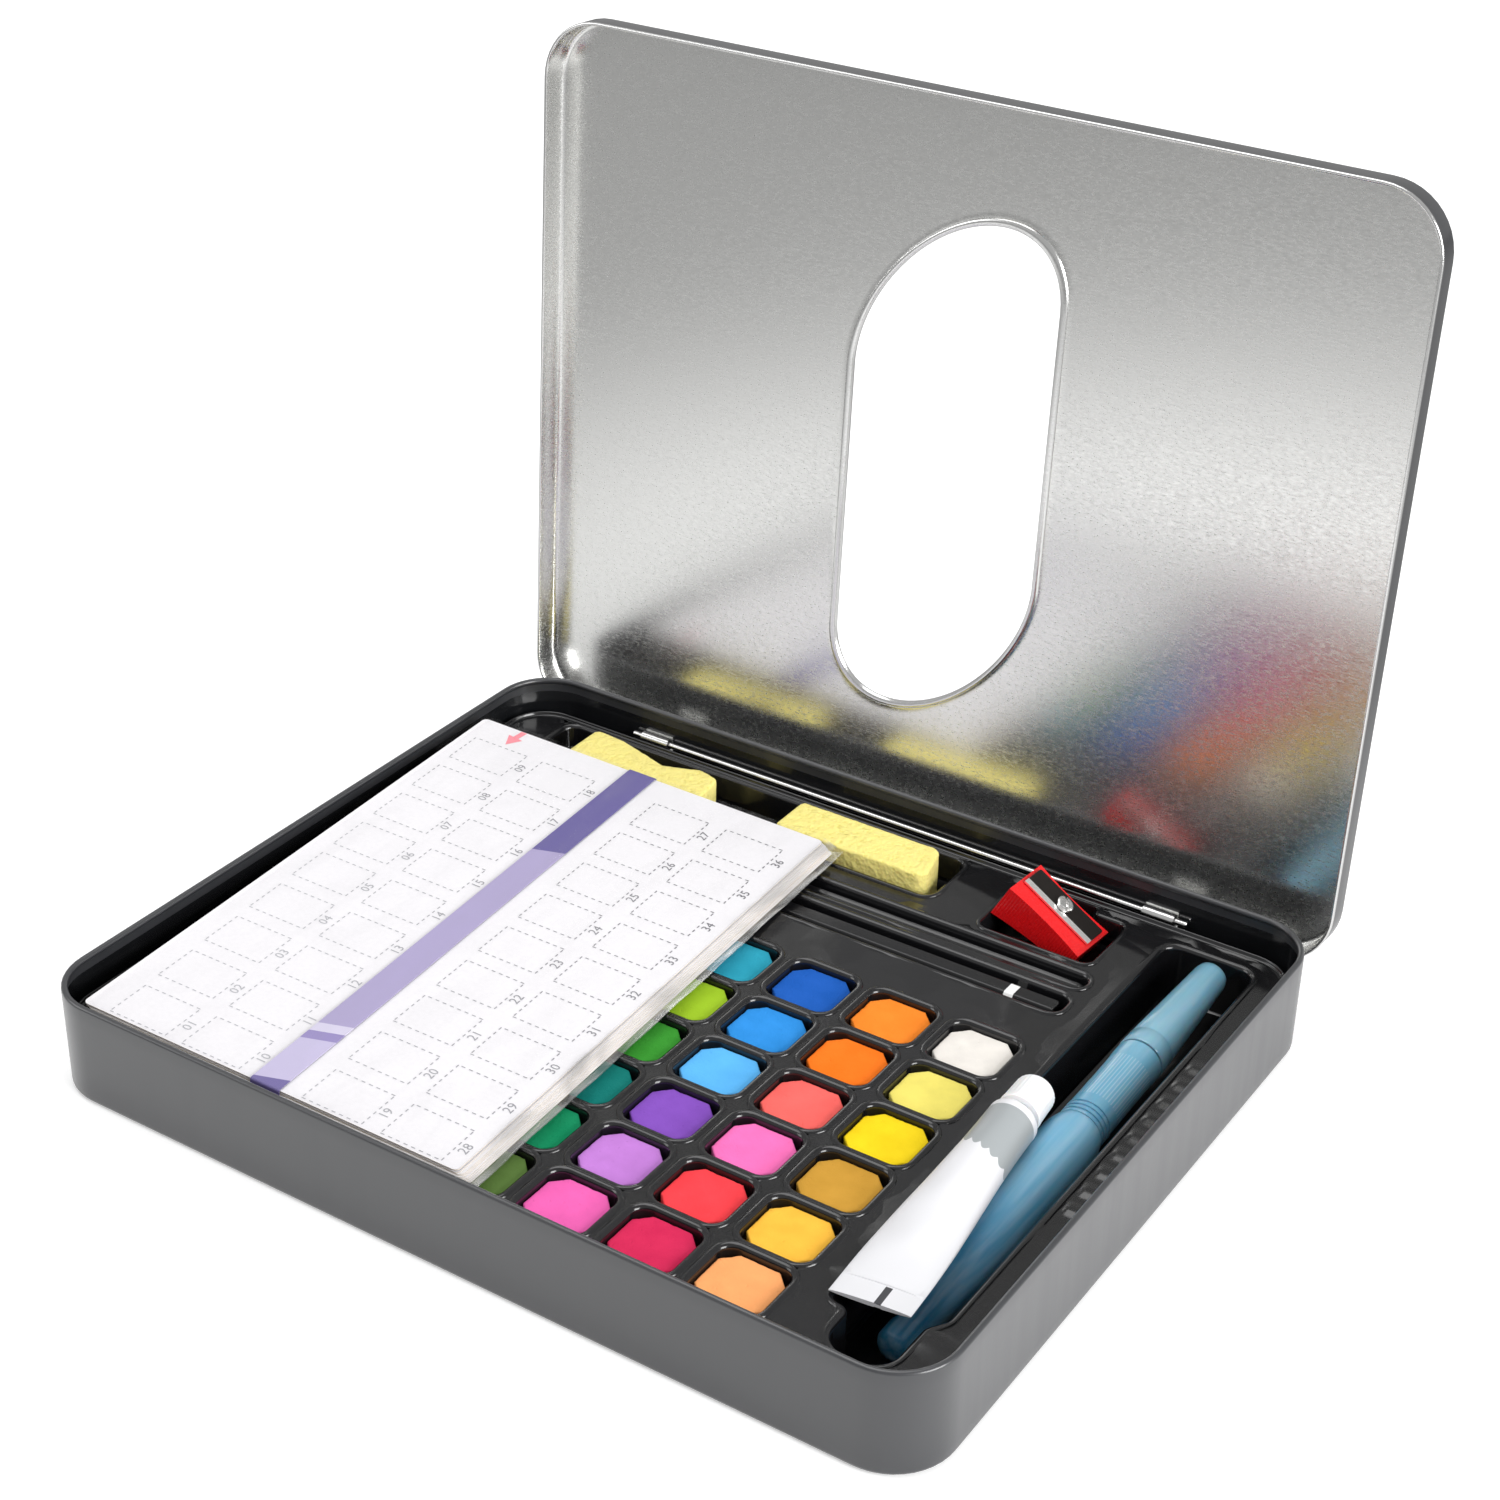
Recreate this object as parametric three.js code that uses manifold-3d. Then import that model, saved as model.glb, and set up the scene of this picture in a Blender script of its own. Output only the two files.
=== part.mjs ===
// A watercolour paint set: a hinged tin with a formed tray of paint cakes and its loose tools.
// Millimetres, +Z up, X along the hinge, +Y towards the hinge, origin under the middle of the tin.
import * as THREE from "three";
import { mergeVertices } from "three/addons/utils/BufferGeometryUtils.js";
import Module from "manifold-3d";

const wasm = await Module();
wasm.setup();

// The driving sizes, in millimetres unless a name says otherwise.
const tinWidth = 250;
const tinDepth = 202;
const tinHeight = 28.5;
const tinCornerRadius = 16;
const sheetSteel = 0.6;
const edgeRounding = 0.9;
const rimRollWidth = 1.6;
const rimRollHeight = 1.6;

const lidClearance = 0.5;
const lidSeatGap = 0.3;
const lidHeight = 8.6;
const lidOpenDegrees = 93;
const windowHalfWidth = 29;
const windowHalfStraight = 37;
const windowShift = 1;
const windowSlantShare = 0.45;
const windowHemWidth = 2.2;
const windowHemHeight = 0.9;

const wireRadius = 0.9;
const wireOverhang = 8;
const hingeDrop = 2.2;
const hingeTabSpacingShare = 0.644;
const hingeTabWidth = 9;
const hingeTabThickness = 0.6;
const runningGap = 0.3;
const hingeSlotBelow = 4;
const hingeSlotAbove = 2;

const trayTop = 17.5;
const traySheet = 0.5;
const trayEdgeHeight = 1.4;
const trayCornerRadius = 13;

const compartmentWidth = 25.6;
const compartmentRightShelf = 10.3;
const compartmentFrontShelf = 22.6;
const compartmentBackShelf = 6.5;
const compartmentFloor = 1.4;
const compartmentCornerRadius = 5;
const compartmentShoulderWidth = 3.2;
const compartmentShoulderDepth = 3.5;
const compartmentStepDepth = 31.6;
const compartmentStepFloor = 7.5;

const fingerLobeInset = 5.5;
const fingerLobeWidth = 16.9;
const fingerLobeReach = 12.9;
const fingerLobeOverlap = 10.5;
const fingerLobeRadius = 7;

const slotRightShelf = 8.3;
const slotLeftShelf = 19.1;
const slotCornerRadius = 3.2;
const brushSlotDepth = 7;
const brushSlotShelf = 8.5;
const brushSlotFloor = 11;
const pencilSlotDepth = 9.4;
const pencilSlotShelf = 3.6;
const pencilSlotFloor = 9.6;

const troughDepth = 21.1;
const troughBackShelf = 2.5;
const troughLeftShelf = 15.1;
const troughRightShelf = 16.2;
const troughFloor = 5.5;
const troughCornerRadius = 4;

const sharpenerWellWidth = 33.4;
const sharpenerWellRightShelf = 3.3;
const sharpenerWellFrontReach = 4.5;
const sharpenerWellBackInset = 3;
const sharpenerWellFloor = 9.2;
const sharpenerLobeLeftInset = 10.4;
const sharpenerLobeRightInset = 10;
const sharpenerLobeDepth = 3.4;

const paletteWidthShare = 0.216;
const paletteLeftShelf = 5.1;
const paletteFrontShelf = 11.1;
const paletteBackShelf = 9;
const paletteFloor = 11;
const paletteCornerRadius = 8;

const wellColumns = 6;
const wellRows = 6;
const wellGapX = 3.9;
const wellGapY = 2.2;
const wellRightShelf = 0.6;
const wellLeftShelf = 6.4;
const wellBackShelf = 15;
const wellFrontShelf = 7.7;
const wellCornerRadius = 4;
const wellFloor = 8.6;
const cakeGap = 0.9;
const cakeTop = 16.3;
const cakeCornerCut = 3.6;

const pencilAcross = 7.2;
const pencilTipLength = 22;
const pencilLeadRadius = 1.1;
const pencilLeadOut = 4;
const pencilEndGap = 2.6;
const pencilTipGap = 6.3;

const spongeLengthShare = 0.3433;
const spongeWidth = 14.6;
const spongeHeight = 16.2;
const spongeDip = 5;
const leftSpongePlaceShare = 0.2687;
const rightSpongePlaceShare = 0.794;
const spongeBackGap = 4.6;
const spongeSlant = 3.4;

const cardWidth = 112.4;
const cardEndRoom = 7.6;
const cardCornerRadius = 1.5;
const cardStackThickness = 1.9;
const topCardThickness = 0.35;
const bandWidth = 8.6;
const bandPaper = 0.25;
const bandX = -0.65;
const bandSlantDegrees = 1.04;
const film = 0.2;
const filmSideMargin = 6;
const filmEndMargin = 1.2;
const filmCornerRadius = 2.2;
const cardPackSideRoom = 6.1;
const cardPackFrontRoom = 5.5;
const cardPackFloor = 20.75;
const cardYawDegrees = 2;
const cardPitchDegrees = 0.6;
const cardRollDegrees = 1.85;

const sharpenerLength = 25;
const sharpenerWidth = 15;
const sharpenerThickEnd = 11;
const sharpenerThinEnd = 6.4;
const sharpenerPinch = 1.6;
const sharpenerBoreMouth = 4.2;
const sharpenerBoreEnd = 0.8;
const sharpenerBoreLength = 22;
const sharpenerFromWellLeft = 17.4;
const sharpenerFromWellFront = 13.2;
const sharpenerAboveWell = 6.8;
const sharpenerYawDegrees = -4.6;
const sharpenerPitchDegrees = 28.8;
const bladeLength = 23;
const bladeWidth = 7.6;
const bladeThickness = 0.6;
const bladeOffset = 1.6;
const screwHeadRadius = 2.4;
const screwHeadHeight = 1.5;
const screwShankRadius = 1.3;
const screwShankLength = 4.5;

const tubeRadius = 6.3;
const tubeTailHalfWidth = 10;
const tubeTailHalfThickness = 0.7;
const tubeTailFold = 7;
const tubeBodyLength = 70.5;
const tubeShoulderLength = 3;
const tubeNeckRadius = 3.6;
const tubeNeckLength = 7;
const tubeCapRadius = 5.5;
const tubeCapTopRadius = 5.1;
const tubeCapLength = 10.6;
const tubeCapWall = 1.4;
const tubeTailInset = 9.4;
const tubeTailForward = 1.9;
const tubeTailHeight = 19.4;
const tubeSlew = 4.25;
const tubeRun = 76.4;
const tubeRise = 2.3;
const tubeRollDegrees = -4;

const brushBarrelRadius = 7.8;
const brushTailRadius = 4.4;
const brushTailLength = 8;
const brushNeckRadius = 3.9;
const brushEndRoom = 8.3;
const brushGripRadius = 6.2;
const brushGripLength = 32;
const brushCapMouthRadius = 6.3;
const brushCapTipRadius = 4.4;
const brushCapLength = 41;
const brushCapWall = 1;
const brushStemRadius = 3;
const brushStemLength = 10;
const bristleRadius = 2.2;
const bristleLength = 20;
const brushTailInset = 13.8;
const brushTailGap = 4.5;
const brushTailHeight = 6.4;
const brushSlew = 0.9;
const brushTipGap = 2.7;
const brushTipHeight = 15.2;

const cutOverrun = 1;
const cornerSteps = 3;
const wellCornerSteps = 2;
const bigCornerSteps = 5;
const roundSides = 20;

const degrees = THREE.MathUtils.degToRad;
const axisX = new THREE.Vector3(1, 0, 0);
const axisY = new THREE.Vector3(0, 1, 0);
const axisZ = new THREE.Vector3(0, 0, 1);

// A closed geometry as a solid that can be joined and cut.
function solidOf(geometry) {
  const bare = new THREE.BufferGeometry();
  bare.setAttribute("position", geometry.getAttribute("position").clone());
  if (geometry.index) bare.setIndex(geometry.index.clone());
  const merged = mergeVertices(bare, 1e-4);
  return new wasm.Manifold(
    new wasm.Mesh({
      numProp: 3,
      vertProperties: new Float32Array(merged.attributes.position.array),
      triVerts: new Uint32Array(merged.index.array),
    }),
  );
}

// A solid's faces as a geometry.
function geometryOf(solid) {
  const made = solid.getMesh();
  const geometry = new THREE.BufferGeometry();
  geometry.setAttribute("position", new THREE.BufferAttribute(made.vertProperties, 3));
  geometry.setIndex(new THREE.BufferAttribute(made.triVerts, 1));
  geometry.computeVertexNormals();
  return geometry;
}

const join = (solids) => solids.reduce((all, next) => all.add(next));

// A rectangle with round corners, between two opposite corners.
function roundedRectangle(left, front, right, back, radius) {
  const shape = new THREE.Shape();
  shape.absarc(right - radius, back - radius, radius, 0, Math.PI / 2);
  shape.absarc(left + radius, back - radius, radius, Math.PI / 2, Math.PI);
  shape.absarc(left + radius, front + radius, radius, Math.PI, 1.5 * Math.PI);
  shape.absarc(right - radius, front + radius, radius, 1.5 * Math.PI, 2 * Math.PI);
  return shape;
}

const centredRectangle = (width, depth, radius) =>
  roundedRectangle(-width / 2, -depth / 2, width / 2, depth / 2, radius);

// A flat outline raised from one height to another.
function raised(shape, bottom, top, steps = cornerSteps) {
  const settings = { depth: top - bottom, bevelEnabled: false, curveSegments: steps };
  return new THREE.ExtrudeGeometry(shape, settings).translate(0, 0, bottom);
}

const raisedSolid = (shape, bottom, top, steps) => solidOf(raised(shape, bottom, top, steps));

// A raised outline with its upper and lower edges rounded.
function softEdged(width, depth, radius, bottom, top, rounding) {
  const core = centredRectangle(width - 2 * rounding, depth - 2 * rounding, radius - rounding);
  const settings = {
    depth: top - bottom - 2 * rounding,
    bevelThickness: rounding,
    bevelSize: rounding,
    bevelSegments: 2,
    curveSegments: bigCornerSteps,
  };
  return new THREE.ExtrudeGeometry(core, settings).translate(0, 0, bottom + rounding);
}

// An outline drawn in Y and Z, drawn out along X about a middle.
function alongX(shape, length, middle, steps = cornerSteps) {
  const drawn = new THREE.ExtrudeGeometry(shape, {
    depth: length,
    bevelEnabled: false,
    curveSegments: steps,
  });
  drawn.applyMatrix4(new THREE.Matrix4().makeBasis(axisY, axisZ, axisX));
  return drawn.translate(middle - length / 2, 0, 0);
}

const box = (left, front, bottom, right, back, top) =>
  new THREE.BoxGeometry(right - left, back - front, top - bottom).translate(
    (left + right) / 2,
    (front + back) / 2,
    (bottom + top) / 2,
  );

// A turned piece from [radius, height] pairs that start and end on its axis.
function turned(profile, sides = roundSides) {
  const points = profile.map(([radius, height]) => new THREE.Vector2(radius, height));
  return new THREE.LatheGeometry(points, sides);
}

function plastic(color, roughness = 0.45) {
  return new THREE.MeshStandardMaterial({ color, roughness, metalness: 0 });
}

function metal(color, roughness = 0.3) {
  return new THREE.MeshStandardMaterial({ color, roughness, metalness: 0.9 });
}

function piece(name, geometry, material) {
  const mesh = new THREE.Mesh(geometry, material);
  mesh.name = name;
  return mesh;
}

const paintSet = new THREE.Group();

// Places that follow from the driving sizes.
const innerBack = tinDepth / 2 - sheetSteel;
const hingeY = innerBack - runningGap - wireRadius;
const hingeCurlRadius = wireRadius + runningGap;
const lidPanelUnder = tinHeight + lidSeatGap;
const lidPanelTop = lidPanelUnder + sheetSteel;
const lidFreeEdge = lidPanelTop - lidHeight;
const hingeZ = lidFreeEdge - hingeDrop;
const lidInsideWidth = tinWidth + 2 * lidClearance;
const lidInsideDepth = tinDepth + 2 * lidClearance;
const lidOutsideWidth = lidInsideWidth + 2 * sheetSteel;
const lidOutsideDepth = lidInsideDepth + 2 * sheetSteel;
const hingeTabSpacing = tinWidth * hingeTabSpacingShare;
const hingeTabs = [-hingeTabSpacing / 2, hingeTabSpacing / 2];
const wireLength = hingeTabSpacing + 2 * wireOverhang;

// The tin's base: one drawn sheet with a flat floor, upright sides and a rim rolled inwards.
function baseTin() {
  const outside = solidOf(
    softEdged(tinWidth, tinDepth, tinCornerRadius, 0, tinHeight, edgeRounding),
  );
  const hollow = raisedSolid(
    centredRectangle(
      tinWidth - 2 * sheetSteel,
      tinDepth - 2 * sheetSteel,
      tinCornerRadius - sheetSteel,
    ),
    sheetSteel,
    tinHeight - rimRollHeight,
    bigCornerSteps,
  );
  const mouth = raisedSolid(
    centredRectangle(
      tinWidth - 2 * rimRollWidth,
      tinDepth - 2 * rimRollWidth,
      tinCornerRadius - rimRollWidth,
    ),
    sheetSteel,
    tinHeight + cutOverrun,
    bigCornerSteps,
  );
  const slots = hingeTabs.map((x) =>
    solidOf(
      box(
        x - hingeTabWidth / 2 - runningGap,
        innerBack - cutOverrun,
        hingeZ - hingeSlotBelow,
        x + hingeTabWidth / 2 + runningGap,
        tinDepth / 2 + cutOverrun,
        hingeZ + hingeSlotAbove,
      ),
    ),
  );
  return geometryOf(outside.subtract(hollow).subtract(mouth).subtract(join(slots)));
}

// The lid's window: a long oval whose two ends slope the same way, grown by a margin.
function windowOutline(margin) {
  const reach = windowHalfWidth + margin;
  const points = [];
  const steps = 2 * bigCornerSteps + 2;
  for (const end of [1, -1])
    for (let i = 0; i <= steps; i++) {
      const angle = (Math.PI * i) / steps;
      const x = end * reach * Math.cos(angle);
      const y = end * (windowHalfStraight + reach * Math.sin(angle)) - windowSlantShare * x;
      points.push(new THREE.Vector2(x, y - windowShift));
    }
  return new THREE.Shape(points);
}

// One hinge tab of the lid: a curl round the wire, an arm through the tin's slot, and a drop
// from the lid's back wall that carries the arm.
function hingeTab(x) {
  const curl = new THREE.Shape();
  curl.absarc(hingeY, hingeZ, hingeCurlRadius + hingeTabThickness, 0, 2 * Math.PI);
  const bore = new THREE.Path();
  bore.absarc(hingeY, hingeZ, hingeCurlRadius, 0, 2 * Math.PI, true);
  curl.holes.push(bore);
  const half = hingeTabThickness / 2;
  const left = x - hingeTabWidth / 2;
  const right = x + hingeTabWidth / 2;
  const wallIn = lidInsideDepth / 2;
  const wallOut = lidOutsideDepth / 2;
  const armStart = hingeY + hingeCurlRadius + half;
  const arm = box(left, armStart, hingeZ - half, right, wallOut, hingeZ + half);
  const drop = box(left, wallIn, hingeZ - half, right, wallOut, lidFreeEdge + half);
  return join([
    solidOf(alongX(curl, hingeTabWidth, x, 2 * cornerSteps)),
    solidOf(arm),
    solidOf(drop),
  ]);
}

// The lid: a shallow drawn pan with a window, a hem folded round the window inside, and two tabs.
// It is drawn shut.
function lidTin() {
  const outside = solidOf(
    softEdged(
      lidOutsideWidth,
      lidOutsideDepth,
      tinCornerRadius + lidClearance + sheetSteel,
      lidFreeEdge - 2 * edgeRounding,
      lidPanelTop,
      edgeRounding,
    ),
  );
  const inside = centredRectangle(
    lidInsideWidth,
    lidInsideDepth,
    tinCornerRadius + lidClearance,
  );
  const below = centredRectangle(
    lidOutsideWidth + 2 * cutOverrun,
    lidOutsideDepth + 2 * cutOverrun,
    tinCornerRadius,
  );
  const belowBottom = lidFreeEdge - 2 * edgeRounding - cutOverrun;
  const hem = raisedSolid(
    windowOutline(windowHemWidth),
    lidPanelUnder - windowHemHeight,
    lidPanelUnder + sheetSteel / 2,
    bigCornerSteps,
  );
  const opening = raisedSolid(
    windowOutline(0),
    lidPanelUnder - windowHemHeight - cutOverrun,
    lidPanelTop + cutOverrun,
    bigCornerSteps,
  );
  return geometryOf(
    outside
      .subtract(raisedSolid(inside, belowBottom, lidPanelUnder, bigCornerSteps))
      .subtract(raisedSolid(below, belowBottom, lidFreeEdge, bigCornerSteps))
      .add(hem)
      .subtract(opening)
      .add(join(hingeTabs.map(hingeTab))),
  );
}

paintSet.add(piece("base_tin", baseTin(), metal(0x2b2b2e, 0.45)));

const wire = new THREE.CylinderGeometry(wireRadius, wireRadius, wireLength, roundSides);
const hingeWire = piece("hinge_wire", wire, metal(0xd8d8da));
hingeWire.rotation.z = Math.PI / 2;
hingeWire.position.set(0, hingeY, hingeZ);
paintSet.add(hingeWire);

// The lid hangs in a group that turns about the wire.
const lidGroup = new THREE.Group();
lidGroup.position.set(0, hingeY, hingeZ);
lidGroup.rotation.x = -degrees(lidOpenDegrees);
lidGroup.add(piece("lid_tin", lidTin().translate(0, -hingeY, -hingeZ), metal(0xb9babb)));
paintSet.add(lidGroup);

// The tray: one thin formed sheet whose pockets hang from its top, with an upturned edge.
const trayHalfWidth = tinWidth / 2 - rimRollWidth - runningGap;
const trayFront = -(tinDepth / 2 - rimRollWidth - runningGap);
const trayBack = hingeY - hingeCurlRadius - hingeTabThickness - runningGap;

const compartmentRight = trayHalfWidth - compartmentRightShelf;
const compartmentLeft = compartmentRight - compartmentWidth;
const compartmentFront = trayFront + compartmentFrontShelf;
const compartmentBack = trayBack - compartmentBackShelf;
const compartmentShoulderX = compartmentRight - compartmentShoulderWidth;
const compartmentShoulderY = compartmentFront + compartmentShoulderDepth;
const compartmentStepY = compartmentBack - compartmentStepDepth;
const fingerLobeLeft = compartmentLeft + fingerLobeInset;

const troughLeft = -trayHalfWidth + troughLeftShelf;
const troughBack = trayBack - troughBackShelf;
const troughFront = troughBack - troughDepth;
const slotRight = compartmentLeft - slotRightShelf;
const slotLeft = -trayHalfWidth + slotLeftShelf;
const brushSlotBack = troughFront - brushSlotShelf;
const brushSlotFront = brushSlotBack - brushSlotDepth;
const pencilSlotBack = brushSlotFront - pencilSlotShelf;
const pencilSlotFront = pencilSlotBack - pencilSlotDepth;

const sharpenerWellRight = slotRight - sharpenerWellRightShelf;
const sharpenerWellLeft = sharpenerWellRight - sharpenerWellWidth;
const sharpenerWellFront = troughFront - sharpenerWellFrontReach;
const sharpenerWellBack = troughBack - sharpenerWellBackInset;
const troughRight = sharpenerWellLeft - troughRightShelf;

const paletteLeft = -trayHalfWidth + paletteLeftShelf;
const paletteRight = paletteLeft + tinWidth * paletteWidthShare;
const paletteFront = trayFront + paletteFrontShelf;
const paletteBack = pencilSlotFront - paletteBackShelf;

// The wells share the flat that the palette, the slots and the compartment leave.
const wellsRight = slotRight - wellRightShelf;
const wellsLeft = paletteRight + wellLeftShelf;
const wellsBack = pencilSlotFront - wellBackShelf;
const wellsFront = trayFront + wellFrontShelf;
const wellPitchX = (wellsRight - wellsLeft + wellGapX) / wellColumns;
const wellPitchY = (wellsBack - wellsFront + wellGapY) / wellRows;
const wellWidth = wellPitchX - wellGapX;
const wellDepth = wellPitchY - wellGapY;

const wells = [];
for (let column = 0; column < wellColumns; column++)
  for (let row = 0; row < wellRows; row++)
    wells.push({
      column,
      row,
      x: wellsRight - wellWidth / 2 - column * wellPitchX,
      y: wellsBack - wellDepth / 2 - row * wellPitchY,
    });

// Each pocket is an inside outline with its floor; its cup is the same outline grown by the sheet.
const pocket = (left, front, right, back, radius, floor, steps = cornerSteps) => ({
  left,
  front,
  right,
  back,
  radius,
  floor,
  steps,
});

const pockets = [
  ...wells.map(({ x, y }) =>
    pocket(
      x - wellWidth / 2,
      y - wellDepth / 2,
      x + wellWidth / 2,
      y + wellDepth / 2,
      wellCornerRadius,
      wellFloor,
      wellCornerSteps,
    ),
  ),
  pocket(slotLeft, brushSlotFront, slotRight, brushSlotBack, slotCornerRadius, brushSlotFloor),
  pocket(slotLeft, pencilSlotFront, slotRight, pencilSlotBack, slotCornerRadius, pencilSlotFloor),
  pocket(troughLeft, troughFront, troughRight, troughBack, troughCornerRadius, troughFloor),
  pocket(
    sharpenerWellLeft,
    sharpenerWellFront,
    sharpenerWellRight,
    sharpenerWellBack,
    slotCornerRadius,
    sharpenerWellFloor,
  ),
  pocket(
    sharpenerWellLeft + sharpenerLobeLeftInset,
    sharpenerWellFront,
    sharpenerWellRight - sharpenerLobeRightInset,
    sharpenerWellBack + sharpenerLobeDepth,
    slotCornerRadius,
    sharpenerWellFloor,
  ),
  pocket(
    compartmentLeft,
    compartmentFront,
    compartmentShoulderX,
    compartmentStepY,
    compartmentCornerRadius,
    compartmentFloor,
  ),
  pocket(
    compartmentLeft,
    compartmentShoulderY,
    compartmentRight,
    compartmentStepY,
    compartmentCornerRadius,
    compartmentFloor,
  ),
  pocket(
    compartmentLeft,
    compartmentStepY - 2 * compartmentCornerRadius,
    compartmentRight,
    compartmentBack,
    compartmentCornerRadius,
    compartmentStepFloor,
  ),
  pocket(
    fingerLobeLeft,
    compartmentFront - fingerLobeReach,
    fingerLobeLeft + fingerLobeWidth,
    compartmentFront + fingerLobeOverlap,
    fingerLobeRadius,
    compartmentFloor,
  ),
  pocket(
    paletteLeft,
    paletteFront,
    paletteRight,
    paletteBack,
    paletteCornerRadius,
    paletteFloor,
  ),
];

const pocketOutline = (p, grow) =>
  roundedRectangle(
    p.left - grow,
    p.front - grow,
    p.right + grow,
    p.back + grow,
    p.radius + grow,
  );

function formedTray() {
  const outline = (inset) =>
    roundedRectangle(
      -trayHalfWidth + inset,
      trayFront + inset,
      trayHalfWidth - inset,
      trayBack - inset,
      trayCornerRadius - inset,
    );
  const sheet = raisedSolid(outline(0), trayTop - traySheet, trayTop, bigCornerSteps);
  const edgeTop = trayTop + trayEdgeHeight;
  const edge = raisedSolid(outline(0), trayTop - traySheet, edgeTop, bigCornerSteps).subtract(
    raisedSolid(
      outline(traySheet),
      trayTop - traySheet - cutOverrun,
      edgeTop + cutOverrun,
      bigCornerSteps,
    ),
  );
  const cups = pockets.map((p) =>
    raisedSolid(
      pocketOutline(p, traySheet),
      p.floor - traySheet,
      trayTop - traySheet / 2,
      p.steps,
    ),
  );
  const insides = pockets.map((p) =>
    raisedSolid(pocketOutline(p, 0), p.floor, trayTop + cutOverrun, p.steps),
  );
  return join([sheet, edge, ...cups]).subtract(join(insides));
}

// The sheet is drawn in four parts that meet on the flats between its pockets: the wells, the
// palette beside them, the slots and troughs behind them, and the long compartment's side.
const wholeTray = formedTray();
const sideSeam = (slotRight + compartmentLeft) / 2;
const backSeam = (paletteBack + pencilSlotFront) / 2;
const paletteSeam = (paletteRight + wellsLeft) / 2;
const seamHalf = runningGap / 2;
const trayParts = {
  tray_side: [sideSeam + seamHalf, trayFront, trayHalfWidth, trayBack],
  tray_back: [-trayHalfWidth, backSeam + seamHalf, sideSeam - seamHalf, trayBack],
  tray_wells: [paletteSeam + seamHalf, trayFront, sideSeam - seamHalf, backSeam - seamHalf],
  tray_palette: [-trayHalfWidth, trayFront, paletteSeam - seamHalf, backSeam - seamHalf],
};
for (const [name, [left, front, right, back]] of Object.entries(trayParts)) {
  const share = solidOf(box(left, front, 0, right, back, tinHeight));
  paintSet.add(piece(name, geometryOf(wholeTray.intersect(share)), plastic(0x2a2a2d, 0.3)));
}

// Eight-sided paint cakes, one in each well, columns from the right and rows from the hinge.
const cakeColours = [
  [0xf7f3ee, 0xf5e35f, 0xfbdc1f, 0xc8983a, 0xfdc146, 0xfdb16f],
  [0xff9332, 0xff7f24, 0xfb6f6a, 0xfb6fbf, 0xf8434b, 0xd9305c],
  [0x1f5fbd, 0x3592e0, 0x5db4f2, 0x8450ba, 0xbf7fd2, 0xec64b4],
  [0x2ea3bd, 0xa4d12c, 0x3c9e33, 0x118277, 0x12965e, 0x5f7f3e],
  [0x1f3f8a, 0x2a6f6b, 0x7a9a3a, 0x8a5a2b, 0x6b3f24, 0x4a2f22],
  [0x9a9ea3, 0x6d7278, 0x3f4347, 0xb98a5a, 0x8f2f2a, 0x1c1c1e],
];

function cakeOutline() {
  const halfX = wellWidth / 2 - cakeGap;
  const halfY = wellDepth / 2 - cakeGap;
  const cut = cakeCornerCut;
  const corners = [
    [halfX, halfY - cut],
    [halfX - cut, halfY],
    [cut - halfX, halfY],
    [-halfX, halfY - cut],
    [-halfX, cut - halfY],
    [cut - halfX, -halfY],
    [halfX - cut, -halfY],
    [halfX, cut - halfY],
  ];
  return new THREE.Shape(corners.map(([x, y]) => new THREE.Vector2(x, y)));
}

for (const { column, row, x, y } of wells) {
  const bottom = wellFloor + runningGap;
  const cake = raised(cakeOutline(), bottom, cakeTop);
  const name = "cake_" + String.fromCharCode(97 + column) + (row + 1);
  const mesh = piece(name, cake, plastic(cakeColours[column][row], 0.95));
  mesh.position.set(x, y, 0);
  paintSet.add(mesh);
}

const pencilLength = slotRight - slotLeft - pencilEndGap - pencilTipGap;

// A six-sided pencil lying in the front slot: a cased lead, sharpened at its hidden left end.
function pencilCasing() {
  const radius = pencilAcross / Math.sqrt(3);
  const hexagon = solidOf(new THREE.CylinderGeometry(radius, radius, pencilLength, 6));
  const half = pencilLength / 2;
  const tipRadius = pencilLeadRadius + 2 * runningGap;
  const cone = turned([
    [0, -half - cutOverrun],
    [2 * radius, -half - cutOverrun],
    [2 * radius, half - pencilTipLength],
    [radius, half - pencilTipLength],
    [tipRadius, half],
    [0, half],
  ]);
  const bore = turned(
    [
      [0, -half - cutOverrun],
      [pencilLeadRadius + runningGap, -half - cutOverrun],
      [pencilLeadRadius + runningGap, half + cutOverrun],
      [0, half + cutOverrun],
    ],
    8,
  );
  return geometryOf(hexagon.intersect(solidOf(cone)).subtract(solidOf(bore)));
}

function pencilLead() {
  const half = pencilLength / 2;
  return turned(
    [
      [0, -half],
      [pencilLeadRadius, -half],
      [pencilLeadRadius, half],
      [0, half + pencilLeadOut],
    ],
    8,
  );
}

const pencil = new THREE.Group();
pencil.position.set(
  slotRight - pencilEndGap - pencilLength / 2,
  pencilSlotFront + runningGap + pencilAcross / Math.sqrt(3),
  pencilSlotFloor + runningGap + pencilAcross / 2,
);
pencil.rotation.set(0, 0, Math.PI / 2);
const pencilRoll = new THREE.Group();
pencilRoll.rotation.y = Math.PI / 6;
pencilRoll.add(piece("pencil_casing", pencilCasing(), plastic(0x161618, 0.25)));
pencilRoll.add(piece("pencil_lead", pencilLead(), plastic(0x3a3a3c, 0.5)));
pencil.add(pencilRoll);
paintSet.add(pencil);

// A foam block with square sides; dip hollows the middle of its back, slant leans its right end.
const troughLength = troughRight - troughLeft;
const spongeLength = troughLength * spongeLengthShare;

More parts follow.
